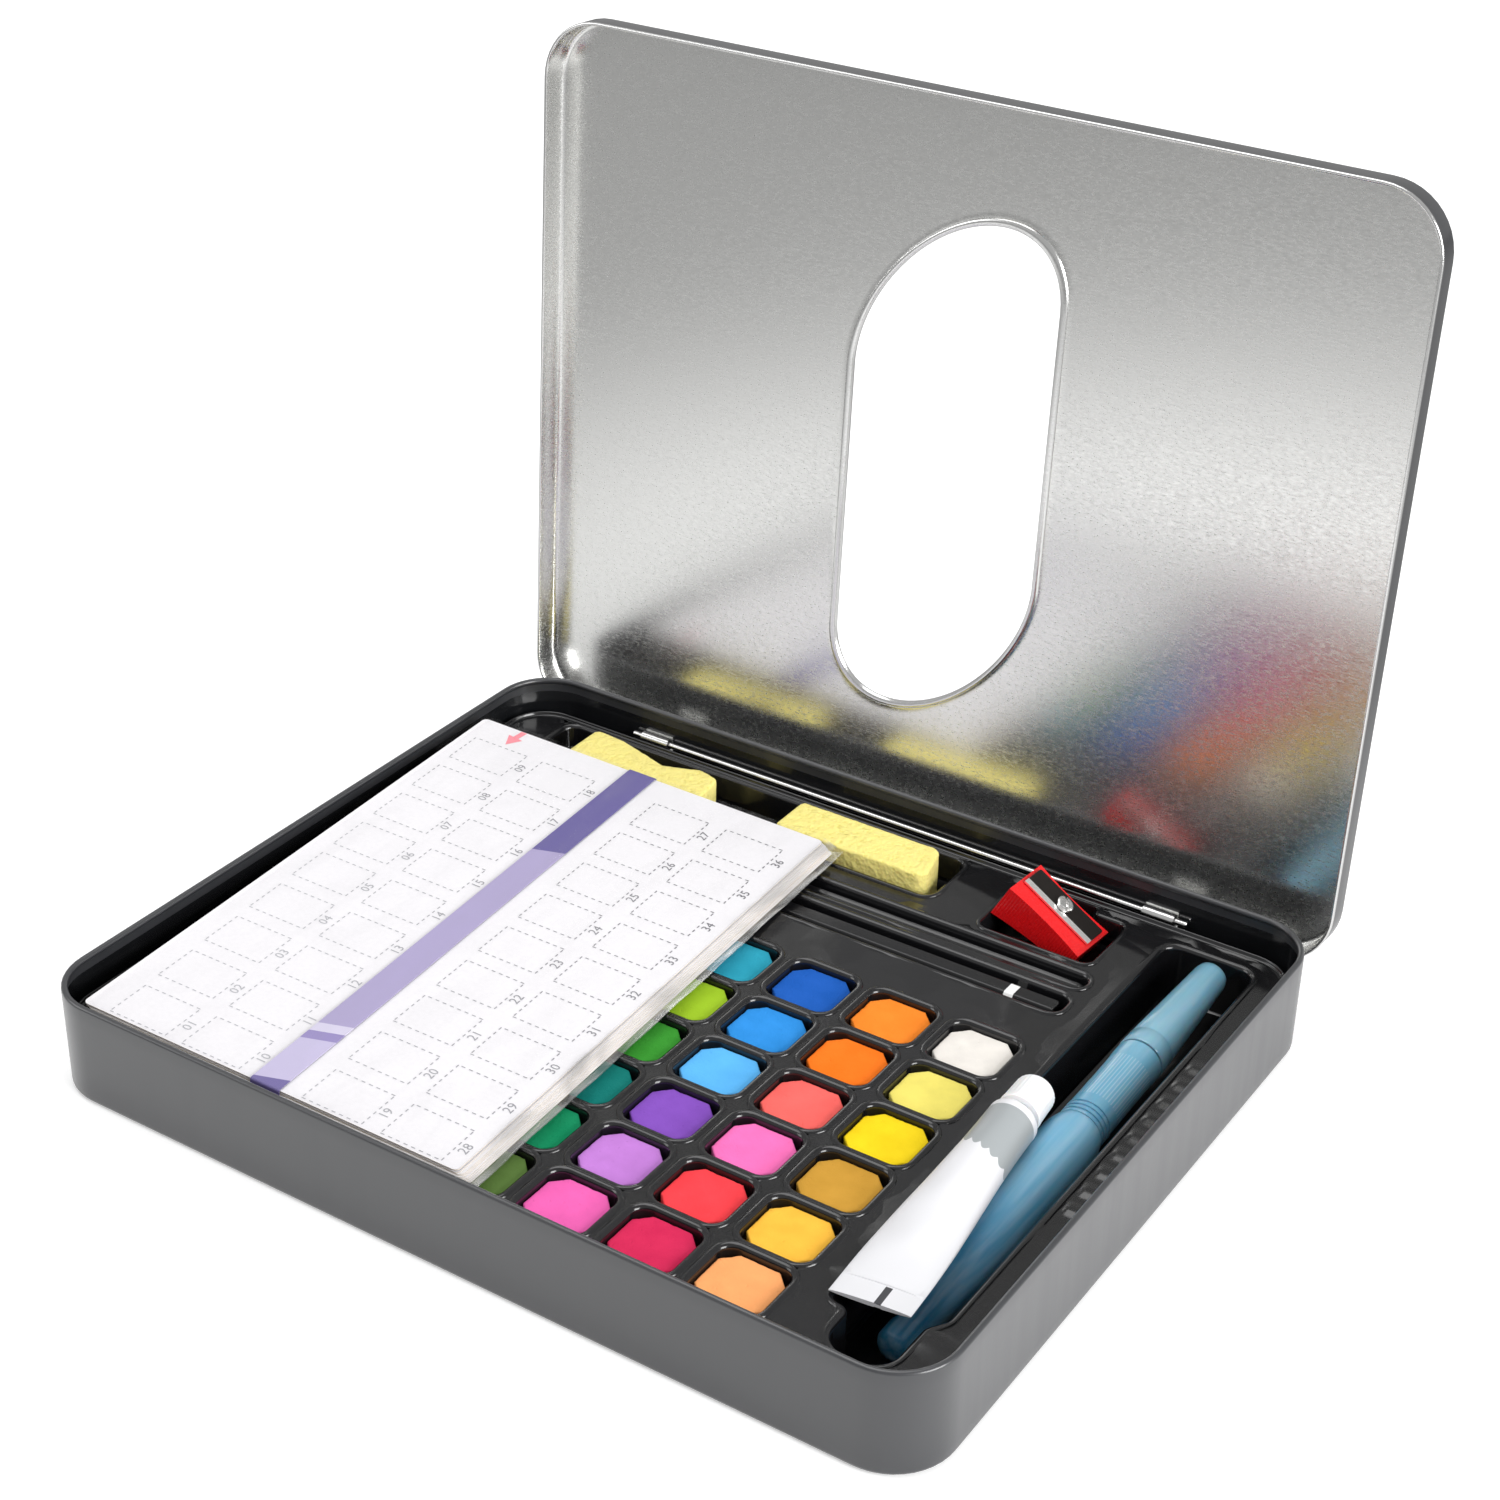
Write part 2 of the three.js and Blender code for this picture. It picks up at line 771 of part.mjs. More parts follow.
function sponge(dip, slant) {
  const half = spongeLength / 2;
  const outline = new THREE.Shape();
  outline.moveTo(-half, -spongeWidth);
  outline.lineTo(half + slant / 2, -spongeWidth);
  outline.lineTo(half - slant / 2, 0);
  outline.bezierCurveTo(half / 3, -dip / 3, half / 6, -2 * dip, -half / 3, -dip);
  outline.lineTo(-half, 0);
  return raised(outline, 0, spongeHeight);
}

const spongeY = troughBack - spongeBackGap;
const spongeZ = troughFloor + runningGap;
const leftSponge = piece("sponge_left", sponge(spongeDip, 0), plastic(0xf3e36c, 1));
leftSponge.position.set(troughLeft + troughLength * leftSpongePlaceShare, spongeY, spongeZ);
paintSet.add(leftSponge);
const rightSponge = piece("sponge_right", sponge(0, spongeSlant), plastic(0xf3e36c, 1));
rightSponge.position.set(troughLeft + troughLength * rightSpongePlaceShare, spongeY, spongeZ);
paintSet.add(rightSponge);

// The practice cards: a stack with its top card, a paper band round them and a clear film sleeve.
const cardLength = troughFront - trayFront - cardEndRoom;
const cardPack = new THREE.Group();
cardPack.position.set(
  -trayHalfWidth + cardPackSideRoom + cardWidth / 2,
  trayFront + cardPackFrontRoom + cardLength / 2,
  cardPackFloor,
);
cardPack.rotation.set(
  degrees(cardPitchDegrees),
  degrees(cardRollDegrees),
  degrees(cardYawDegrees),
  "ZYX",
);
const stackBottom = film + runningGap + bandPaper + runningGap;
const topCardBottom = stackBottom + cardStackThickness + runningGap;
const cardsTop = topCardBottom + topCardThickness;
const card = (bottom, top) =>
  raised(centredRectangle(cardWidth, cardLength, cardCornerRadius), bottom, top);
const stack = card(stackBottom, topCardBottom - runningGap);
cardPack.add(piece("card_stack", stack, plastic(0xf4f1ec, 0.8)));
cardPack.add(piece("top_card", card(topCardBottom, cardsTop), plastic(0xfbfafa, 0.8)));

// The clear sleeve: a film bag with round corners at its closed front, open at its back.
function filmSleeve() {
  const left = -cardWidth / 2 - 2 * runningGap;
  const right = cardWidth / 2 + filmSideMargin;
  const end = cardLength / 2 + filmEndMargin;
  const top = cardsTop + runningGap + bandPaper + runningGap + film;
  const outer = roundedRectangle(left, -end, right, end, filmCornerRadius);
  const inner = roundedRectangle(
    left + film,
    film - end,
    right - film,
    end + cutOverrun + filmCornerRadius,
    filmCornerRadius - film,
  );
  return geometryOf(
    raisedSolid(outer, 0, top).subtract(raisedSolid(inner, film, top - film)),
  );
}

// The band runs over the short ends of the cards, so it is open along X.
function bandRing() {
  const reach = cardLength / 2 + runningGap;
  const inner = box(
    -bandWidth,
    -reach,
    stackBottom - runningGap,
    bandWidth,
    reach,
    cardsTop + runningGap,
  );
  const outer = box(
    -bandWidth / 2,
    -reach - bandPaper,
    stackBottom - runningGap - bandPaper,
    bandWidth / 2,
    reach + bandPaper,
    cardsTop + runningGap + bandPaper,
  );
  return geometryOf(solidOf(outer).subtract(solidOf(inner)));
}

const cardBand = piece("card_band", bandRing(), plastic(0x8a80bf, 0.7));
cardBand.position.x = bandX;
cardBand.rotation.z = degrees(bandSlantDegrees);
cardPack.add(cardBand);
const sleeveMaterial = plastic(0xf4f6f8, 0.1);
sleeveMaterial.transparent = true;
sleeveMaterial.opacity = 0.25;
cardPack.add(piece("card_sleeve", filmSleeve(), sleeveMaterial));
paintSet.add(cardPack);

// The wedge sharpener, drawn with its blade face level and leaned down into its well.
function sharpenerBody() {
  const half = sharpenerLength / 2;
  const side = new THREE.Shape();
  side.moveTo(-half, -sharpenerThickEnd);
  side.lineTo(half, -sharpenerThinEnd);
  side.lineTo(half, 0);
  side.lineTo(-half, 0);
  const wedge = new THREE.ExtrudeGeometry(side, { depth: sharpenerWidth, bevelEnabled: false });
  wedge.rotateX(Math.PI / 2).translate(0, sharpenerWidth / 2, 0);
  const wide = sharpenerWidth / 2;
  const waist = wide - sharpenerPinch;
  const plan = new THREE.Shape();
  plan.moveTo(-half, -wide);
  plan.quadraticCurveTo(0, -waist, half, -wide);
  plan.lineTo(half, wide);
  plan.quadraticCurveTo(0, waist, -half, wide);
  const sides = raisedSolid(plan, -2 * sharpenerThickEnd, sharpenerThickEnd, 2 * cornerSteps);
  const slope = Math.atan2(sharpenerThickEnd - sharpenerThinEnd, sharpenerLength);
  const bore = turned([
    [0, -cutOverrun],
    [sharpenerBoreMouth, -cutOverrun],
    [sharpenerBoreEnd, sharpenerBoreLength],
    [0, sharpenerBoreLength],
  ])
    .rotateZ(-Math.PI / 2)
    .rotateY(-slope)
    .translate(-half, -bladeOffset, -sharpenerThickEnd / 2);
  const hole = turned(
    [
      [0, -screwShankLength - runningGap],
      [screwShankRadius + runningGap, -screwShankLength - runningGap],
      [screwShankRadius + runningGap, cutOverrun],
      [0, cutOverrun],
    ],
    8,
  )
    .rotateX(Math.PI / 2)
    .translate(0, bladeOffset, 0);
  return geometryOf(
    solidOf(wedge).intersect(sides).subtract(solidOf(bore)).subtract(solidOf(hole)),
  );
}

function sharpenerBlade() {
  const plate = centredRectangle(bladeLength, bladeWidth, bladeThickness);
  const hole = new THREE.Path();
  hole.absarc(0, 0, screwShankRadius + runningGap, 0, 2 * Math.PI, true);
  plate.holes.push(hole);
  return raised(plate, runningGap, runningGap + bladeThickness, cornerSteps + 1);
}

function sharpenerScrew() {
  const seat = runningGap + bladeThickness + runningGap;
  return turned(
    [
      [0, runningGap - screwShankLength],
      [screwShankRadius, runningGap - screwShankLength],
      [screwShankRadius, seat],
      [screwHeadRadius, seat],
      [screwHeadRadius, seat + screwHeadHeight / 2],
      [0, seat + screwHeadHeight],
    ],
    12,
  ).rotateX(Math.PI / 2);
}

const sharpener = new THREE.Group();
sharpener.position.set(
  sharpenerWellLeft + sharpenerFromWellLeft,
  sharpenerWellFront + sharpenerFromWellFront,
  sharpenerWellFloor + sharpenerAboveWell + sharpenerThickEnd / 2,
);
sharpener.rotation.set(0, degrees(sharpenerPitchDegrees), degrees(sharpenerYawDegrees), "ZYX");
sharpener.add(piece("sharpener_body", sharpenerBody(), plastic(0xc8161d, 0.35)));
const blade = piece("sharpener_blade", sharpenerBlade(), metal(0x8c8f93, 0.25));
blade.position.y = bladeOffset;
sharpener.add(blade);
const screw = piece("sharpener_screw", sharpenerScrew(), metal(0xd9d9dc, 0.2));
screw.position.y = bladeOffset;
sharpener.add(screw);
paintSet.add(sharpener);

// A closed skin over rings of as many points each, from the first ring to the last.
function lofted(rings) {
  const sides = rings[0].length;
  const positions = rings.flat().flatMap(([x, y, z]) => [x, y, z]);
  const index = [];
  for (let ring = 0; ring + 1 < rings.length; ring++)
    for (let side = 0; side < sides; side++) {
      const a = ring * sides + side;
      const b = ring * sides + ((side + 1) % sides);
      index.push(a, b, b + sides, a, b + sides, a + sides);
    }
  const last = (rings.length - 1) * sides;
  for (let side = 1; side + 1 < sides; side++) {
    index.push(0, side + 1, side);
    index.push(last, last + side, last + side + 1);
  }
  const geometry = new THREE.BufferGeometry();
  geometry.setAttribute("position", new THREE.Float32BufferAttribute(positions, 3));
  geometry.setIndex(index);
  return geometry;
}

// The paint tube along +Y from its folded tail: flat at the tail and round at the shoulder.
function tubeBody() {
  const ringAt = (y, halfWidth, halfThickness) => {
    const ring = [];
    for (let side = 0; side < roundSides; side++) {
      const angle = (2 * Math.PI * side) / roundSides;
      ring.push([halfWidth * Math.sin(angle), y, halfThickness * Math.cos(angle)]);
    }
    return ring;
  };
  const rings = [
    ringAt(0, tubeTailHalfWidth, tubeTailHalfThickness),
    ringAt(tubeTailFold, tubeTailHalfWidth, tubeTailHalfThickness),
  ];
  const swell = tubeBodyLength - tubeTailFold;
  const steps = 8;
  for (let step = 1; step <= steps; step++) {
    const share = step / steps;
    const round = Math.sin((share * Math.PI) / 2);
    const halfThickness = THREE.MathUtils.lerp(tubeTailHalfThickness, tubeRadius, round);
    const halfWidth = THREE.MathUtils.lerp(tubeTailHalfWidth, tubeRadius, round * round);
    rings.push(ringAt(tubeTailFold + swell * share, halfWidth, halfThickness));
  }
  const shoulder = tubeBodyLength + tubeShoulderLength;
  rings.push(ringAt(shoulder, tubeNeckRadius, tubeNeckRadius));
  rings.push(ringAt(shoulder + tubeNeckLength, tubeNeckRadius, tubeNeckRadius));
  return lofted(rings);
}

// The tube's screw cap: a cup that goes over the neck, along +Y from its mouth.
function tubeCap() {
  const bore = tubeNeckRadius + runningGap;
  const boreEnd = tubeNeckLength + runningGap;
  return turned([
    [0, boreEnd],
    [bore, boreEnd],
    [bore, 0],
    [tubeCapRadius, 0],
    [tubeCapTopRadius, tubeCapLength - tubeCapWall],
    [tubeCapTopRadius - tubeCapWall, tubeCapLength],
    [0, tubeCapLength],
  ]);
}

// A group at a point, whose +Y runs along a given way.
function aimed(from, way, roll = 0) {
  const group = new THREE.Group();
  group.position.copy(from);
  group.quaternion.setFromUnitVectors(axisY, way.clone().normalize());
  group.rotateY(roll);
  return group;
}

const tubeTailPoint = new THREE.Vector3(
  compartmentLeft + tubeTailInset,
  compartmentFront + tubeTailForward,
  tubeTailHeight,
);
const tubeWay = new THREE.Vector3(-tubeSlew, tubeRun, tubeRise);
const tube = aimed(tubeTailPoint, tubeWay, degrees(tubeRollDegrees));
tube.add(piece("tube_body", tubeBody(), plastic(0xf1f1f2, 0.35)));
const cap = piece("tube_cap", tubeCap(), plastic(0xf7f7f7, 0.4));
cap.position.y = tubeBodyLength + tubeShoulderLength + runningGap;
tube.add(cap);
paintSet.add(tube);

// The water brush along +Y from its tail: a squeeze barrel, a grip with its stem, the bristles
// and a cap over them. The barrel takes the length that the compartment leaves.
const brushBarrelLength =
  compartmentBack - compartmentFront - brushGripLength - brushCapLength - brushEndRoom;

function brushBarrel() {
  const length = brushBarrelLength;
  return turned([
    [0, 0],
    [brushTailRadius - edgeRounding, 0],
    [brushTailRadius, edgeRounding],
    [brushTailRadius, brushTailLength - edgeRounding],
    [brushNeckRadius, brushTailLength],
    [brushNeckRadius + edgeRounding, brushTailLength + edgeRounding],
    [(brushBarrelRadius + brushNeckRadius) / 2, length / 4],
    [brushBarrelRadius - edgeRounding, length / 2],
    [brushBarrelRadius, (3 * length) / 4],
    [brushBarrelRadius, length - 2 * brushTailRadius],
    [brushGripRadius, length],
    [0, length],
  ]);
}

function brushGrip() {
  const bottom = brushBarrelLength + runningGap;
  const top = brushBarrelLength + brushGripLength;
  return turned([
    [0, bottom],
    [brushGripRadius, bottom],
    [brushGripRadius, top],
    [brushStemRadius, top],
    [brushStemRadius, top + brushStemLength],
    [0, top + brushStemLength],
  ]);
}

function brushBristles() {
  const bottom = brushBarrelLength + brushGripLength + brushStemLength + runningGap;
  return turned(
    [
      [0, bottom],
      [bristleRadius, bottom],
      [bristleRadius, bottom + bristleLength / 2],
      [0, bottom + bristleLength],
    ],
    12,
  );
}

function brushCap() {
  const mouth = brushBarrelLength + brushGripLength + runningGap;
  const tip = mouth + brushCapLength;
  const wall = brushCapWall;
  return turned([
    [0, tip - wall],
    [brushCapTipRadius - wall, tip - wall],
    [brushCapMouthRadius - wall, mouth],
    [brushCapMouthRadius, mouth],
    [brushCapTipRadius, tip - edgeRounding],
    [brushCapTipRadius - edgeRounding, tip],
    [0, tip],
  ]);
}

const brushTailPoint = new THREE.Vector3(
  compartmentLeft + brushTailInset,
  compartmentFront + brushTailGap,
  brushTailHeight,
);
const brushTipPoint = new THREE.Vector3(
  brushTailPoint.x + brushSlew,
  compartmentBack - brushTipGap,
  brushTipHeight,
);
const waterBrush = aimed(brushTailPoint, brushTipPoint.clone().sub(brushTailPoint));
waterBrush.add(piece("brush_barrel", brushBarrel(), plastic(0x3f8db5, 0.2)));
waterBrush.add(piece("brush_grip", brushGrip(), plastic(0x6fb0cb, 0.2)));
waterBrush.add(piece("brush_bristles", brushBristles(), plastic(0xe9e6df, 0.7)));
waterBrush.add(piece("brush_cap", brushCap(), plastic(0x8fc4d8, 0.15)));
paintSet.add(waterBrush);

export default paintSet;
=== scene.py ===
import math

import bmesh
import bpy
import numpy as np
from mathutils import Matrix, Vector
from mathutils.geometry import delaunay_2d_cdt


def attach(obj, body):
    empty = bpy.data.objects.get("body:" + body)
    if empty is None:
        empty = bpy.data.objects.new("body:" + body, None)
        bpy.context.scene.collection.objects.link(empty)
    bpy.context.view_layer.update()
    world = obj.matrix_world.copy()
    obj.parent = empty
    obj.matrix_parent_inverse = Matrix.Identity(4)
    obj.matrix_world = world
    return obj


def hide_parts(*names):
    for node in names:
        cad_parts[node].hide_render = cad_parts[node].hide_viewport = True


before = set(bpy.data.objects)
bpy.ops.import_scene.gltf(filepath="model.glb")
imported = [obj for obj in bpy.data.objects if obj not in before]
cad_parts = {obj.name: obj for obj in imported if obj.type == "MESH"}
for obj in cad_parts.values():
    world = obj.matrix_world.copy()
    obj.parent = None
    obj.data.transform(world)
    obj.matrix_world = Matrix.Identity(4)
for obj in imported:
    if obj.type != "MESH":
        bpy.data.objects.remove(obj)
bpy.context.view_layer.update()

# Camera
# The photograph is taken from the front right, a little above the open tin, with a short
# telephoto lens. Its place and aim are in the part's own frame.
CAMERA_PLACE = (0.315845, -0.467819, 0.412232)
CAMERA_RIGHT = (0.83539, 0.54934, 0.01890)
CAMERA_AHEAD = (-0.46884, 0.73008, -0.49716)
LENS_MM = 65.85
SENSOR_MM = 36


def placed(name, data):
    """A new object of the data, in the scene."""
    item = bpy.data.objects.new(name, data)
    bpy.context.collection.objects.link(item)
    return item


camera = placed("camera", bpy.data.cameras.new("camera"))
camera.data.lens = LENS_MM
camera.data.sensor_width = SENSOR_MM
camera.data.clip_start = 0.01
camera.data.clip_end = 20
right = Vector(CAMERA_RIGHT).normalized()
back = -Vector(CAMERA_AHEAD).normalized()
turn = Matrix((right, back.cross(right).normalized(), back)).transposed().to_4x4()
camera.matrix_world = Matrix.Translation(Vector(CAMERA_PLACE)) @ turn
bpy.context.scene.camera = camera

# Base tin
# One sheet of black-lacquered tinplate, drawn to a flat pan with round corners. Its rim is
# rolled inwards to a smooth bead, and two slots in the back wall let the lid's tabs through.
TIN_WIDTH = 250
TIN_DEPTH = 202
TIN_HEIGHT = 28.5
TIN_CORNER = 16
TIN_SHEET = 0.6
RIM_BEAD = 0.85
FLOOR_BEND = 1.6
SLOT_CENTRES = (-80.5, 80.5)
SLOT_HALF_WIDTH = 4.8
SLOT_LOW = 14.6
SLOT_HIGH = 20.6


def linear(hex_colour, factor=1.0, lift=0.0):
    """The linear colour of an sRGB hex value, times a factor and raised by a lift."""
    parts = np.array(list(bytes.fromhex(hex_colour[1:]))) / 255
    curve = np.where(parts <= 0.04045, parts / 12.92, ((parts + 0.055) / 1.055) ** 2.4)
    return (*np.minimum(1, curve * factor + lift).tolist(), 1.0)


def add_node(owner, kind, inputs=None, **attributes):
    """Adds a node to a material or world and sets its attributes. Each input is given a
    constant, a hex colour, an output to link to it, or a node: its first live output."""
    node = owner.node_tree.nodes.new("ShaderNode" + kind)
    for name, value in attributes.items():
        setattr(node, name, value)
    for name, value in (inputs or {}).items():
        if isinstance(value, str):
            value = linear(value)
        elif isinstance(value, bpy.types.Node):
            value = next(output for output in value.outputs if output.enabled)
        if isinstance(value, bpy.types.NodeSocket):
            owner.node_tree.links.new(value, node.inputs[name])
        else:
            node.inputs[name].default_value = value
    return node


def new_material(name):
    """An empty node material and its Object coordinates."""
    material = bpy.data.materials.new(name)
    material.use_nodes = True
    material.node_tree.nodes.clear()
    return material, add_node(material, "TexCoord").outputs["Object"]


def finish_material(material, surface, tones=None, dents=None):
    """Gives the material its surface: a shader, or the inputs of a Principled one. To those,
    tones (share, colour, colour) adds a mix of two colours, and dents (height, strength,
    distance) adds bump."""
    if tones:
        mix = add_node(material, "Mix", dict(zip((0, 6, 7), tones)), data_type="RGBA")
        surface["Base Color"] = mix
    if dents:
        names = ("Height", "Strength", "Distance")
        surface["Normal"] = add_node(material, "Bump", dict(zip(names, dents)))
    if isinstance(surface, dict):
        surface = add_node(material, "BsdfPrincipled", surface)
    add_node(material, "OutputMaterial", {"Surface": surface})
    return material


def noise_range(material, place, low, high, scale=1.0, ends=(0.0, 1.0), stretch=None, more=None):
    """A noise, and its value between two ends laid out from low to high. A stretch scales
    each axis first, and more inputs can be given to the noise."""
    if stretch:
        place = add_node(material, "Mapping", {"Vector": place, "Scale": stretch})
    noise = add_node(material, "TexNoise", {"Vector": place, "Scale": scale, **(more or {})})
    return noise, add_node(material, "MapRange", {
        "Value": noise, "From Min": ends[0], "From Max": ends[1], "To Min": low, "To Max": high})


def plain_material(name, hex_colour, low, high, scale=1.0, stretch=None, more=None, **inputs):
    """One colour, with a roughness that a noise takes from low to high. Inputs of the shader
    are given by name, with underscores for spaces."""
    material, place = new_material(name)
    _, rough = noise_range(material, place, low, high, scale, stretch=stretch, more=more)
    named = {key.replace("_", " "): value for key, value in inputs.items()}
    return finish_material(material, {"Base Color": hex_colour, "Roughness": rough, **named})


def rounded_path(corners, radii, spacing, breaks=()):
    """Points round a closed outline and their outward normals. Each corner is an arc that
    meets its two sides, and each side is cut into steps no longer than the spacing. Sides
    that run along x also get a point at each x in breaks. Corners go anticlockwise."""
    corners = np.array(corners, float)
    radii = np.broadcast_to(np.array(radii, float), len(corners))
    before = corners - np.roll(corners, 1, 0)
    before /= np.linalg.norm(before, axis=1)[:, None]
    after = np.roll(before, -1, 0)
    bend = np.arctan2(before[:, 0] * after[:, 1] - before[:, 1] * after[:, 0],
                      (before * after).sum(1))
    reach = radii * np.tan(np.abs(bend) / 2)
    starts = corners - before * reach[:, None]
    ends = corners + after * reach[:, None]
    points, normals = [], []
    for i in range(len(corners)):
        step = min(spacing, 0.7 + radii[i] / 9)
        steps = max(2, math.ceil(abs(bend[i]) * radii[i] / step), math.ceil(abs(bend[i]) / 0.2))
        angle = np.linspace(0, bend[i], steps + 1)[:, None]
        side = np.sign(bend[i]) or 1.0
        left = np.array([-before[i, 1], before[i, 0]]) * side
        centre = starts[i] + left * radii[i]
        out = -left * np.cos(angle) + before[i] * np.sin(angle) * side
        points.append(centre + out * radii[i])
        normals.append(out * side)
        span = starts[(i + 1) % len(corners)] - ends[i]
        count = max(2, math.ceil(np.linalg.norm(span) / spacing) + 1)
        share = np.linspace(0, 1, count)[1:-1]
        if abs(span[1]) < 1e-9:
            extra = (np.array(breaks, float) - ends[i][0]) / span[0]
            extra = extra[(extra > 0.001) & (extra < 0.999)]
            share = np.unique(np.round(np.concatenate([share, extra]), 9))
        points.append(ends[i] + share[:, None] * span)
        normals.append(np.broadcast_to([after[i, 1], -after[i, 0]], (len(share), 2)))
    return np.concatenate(points), np.concatenate(normals)


def rectangle(left, front, right_side, back_side):
    """The four corners of an upright rectangle, anticlockwise from the front left."""
    return [(left, front), (right_side, front), (right_side, back_side), (left, back_side)]


def centred(width, depth):
    """A rectangle about the origin."""
    return rectangle(-width / 2, -depth / 2, width / 2, depth / 2)


def swept(path, normals, profile):
    """A grid of points: each profile row (reach, height) is the path moved out by its reach
    along the normals and set at its height."""
    profile = np.array(profile, float)
    plan = path[None] + normals[None] * profile[:, 0, None, None]
    height = np.broadcast_to(profile[:, 1, None, None], (*plan.shape[:2], 1))
    return np.concatenate([plan, height], 2)


def grid_faces(rows, columns, closed_rows=False, closed_columns=True):
    """The quads of a grid of points in rows, which may close on itself either way."""
    row = np.arange(rows if closed_rows else rows - 1)
    column = np.arange(columns if closed_columns else columns - 1)
    r, c = np.meshgrid(row, column, indexing="ij")
    r2, c2 = (r + 1) % rows, (c + 1) % columns
    quads = np.stack([r * columns + c, r * columns + c2, r2 * columns + c2, r2 * columns + c], 2)
    return quads.reshape(-1, 4)


def capped_faces(rows, columns):
    """The faces of a tube of points in rows, with its first and last rows filled in."""
    last = (rows - 1) * columns
    return grid_faces(rows, columns).tolist() + [
        list(range(columns))[::-1], list(range(last, last + columns))]


def arc(centre_reach, centre_height, radius, start, stop, steps):
    """Profile rows on an arc: angles in degrees, 0 outwards and 90 up."""
    angle = np.radians(np.linspace(start, stop, steps + 1))
    return list(zip(centre_reach + radius * np.cos(angle), centre_height + radius * np.sin(angle)))


def set_out(name, mesh, body, nodes, sharp):
    """The object of a mesh, smooth but for edges sharper than an angle, on its body."""
    mesh.polygons.foreach_set("use_smooth", np.ones(len(mesh.polygons), bool))
    mesh.set_sharp_from_angle(angle=math.radians(sharp))
    piece = placed(name, mesh)
    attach(piece, body)
    if nodes:
        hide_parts(*nodes)
    return piece


def make_piece(name, points, faces, materials, body, nodes, indices=None, sharp=40,
               flip=False, merge=0.0005):
    """A mesh piece from points in millimetres, with those closer than merge joined."""
    mesh = bpy.data.meshes.new(name)
    faces = [tuple(face) for face in (faces.tolist() if hasattr(faces, "tolist") else faces)]
    mesh.from_pydata((np.asarray(points, float).reshape(-1, 3) * 0.001).tolist(), [], faces)
    for material in materials:
        mesh.materials.append(material)
    if indices is not None:
        mesh.polygons.foreach_set("material_index", np.asarray(indices, np.int32))
    build = bmesh.new()
    build.from_mesh(mesh)
    bmesh.ops.remove_doubles(build, verts=build.verts, dist=merge * 0.001)
    bmesh.ops.dissolve_degenerate(build, edges=build.edges, dist=1e-7)
    if flip:
        bmesh.ops.reverse_faces(build, faces=build.faces)
    build.to_mesh(mesh)
    build.free()
    return set_out(name, mesh, body, nodes, sharp)


# Stoved black lacquer over drawn tinplate: a satin coat that reads as dark grey where it faces
# the light. Faint orange peel breaks up reflections, and draw marks run up the walls.
def lacquer_material(name, hex_colour, roughness, peel_mm):
    """Black coat: clouded tone and roughness, pebbled by a noise of the peel's size."""
    material, place = new_material(name)
    cloud, rough = noise_range(material, place, roughness - 0.06, roughness + 0.1,
                               stretch=(160.0, 160.0, 12.0), more={"Detail": 4.0})
    peel = add_node(material, "TexNoise", {"Vector": place, "Scale": 1000 / peel_mm})
    return finish_material(
        material, {"Roughness": rough, "IOR": 1.5, "Coat Weight": 0.7,
                   "Coat Roughness": roughness * 0.5},
        (cloud, linear(hex_colour, 0.9), linear(hex_colour, 1.1)), (peel, 0.05, 0.0002))


black_lacquer = lacquer_material("stoved_black_lacquer", "#333437", 0.38, 0.9)
inner_lacquer = lacquer_material("glossy_inner_lacquer", "#17181a", 0.16, 1.6)

slot_sides = [x + side * SLOT_HALF_WIDTH for x in SLOT_CENTRES for side in (-1, 1)]
base_path, base_normals = rounded_path(centred(TIN_WIDTH, TIN_DEPTH), TIN_CORNER, 6, slot_sides)
wall_heights = [4, 9, SLOT_LOW, 16.5, 18.6, SLOT_HIGH, 24]
bead_height = TIN_HEIGHT - RIM_BEAD
base_profile = [(-60, 0), (-FLOOR_BEND - 0.6, 0)]
base_profile += arc(-FLOOR_BEND, FLOOR_BEND, FLOOR_BEND, -90, 0, 6)
outer_rows = len(base_profile) + np.arange(len(wall_heights))
base_profile += [(0, z) for z in wall_heights]
base_profile += arc(-RIM_BEAD, bead_height, RIM_BEAD, 0, 250, 14)
base_profile += [(-TIN_SHEET, bead_height - RIM_BEAD - 0.5)]
inner_rows = (len(base_profile) + np.arange(len(wall_heights)))[::-1]
base_profile += [(-TIN_SHEET, z) for z in reversed(wall_heights)]
base_profile += arc(-FLOOR_BEND, FLOOR_BEND, FLOOR_BEND - TIN_SHEET, 0, -90, 5)
base_profile += [(-FLOOR_BEND - 0.6, TIN_SHEET), (-60, TIN_SHEET)]
base_grid = swept(base_path, base_normals, base_profile)
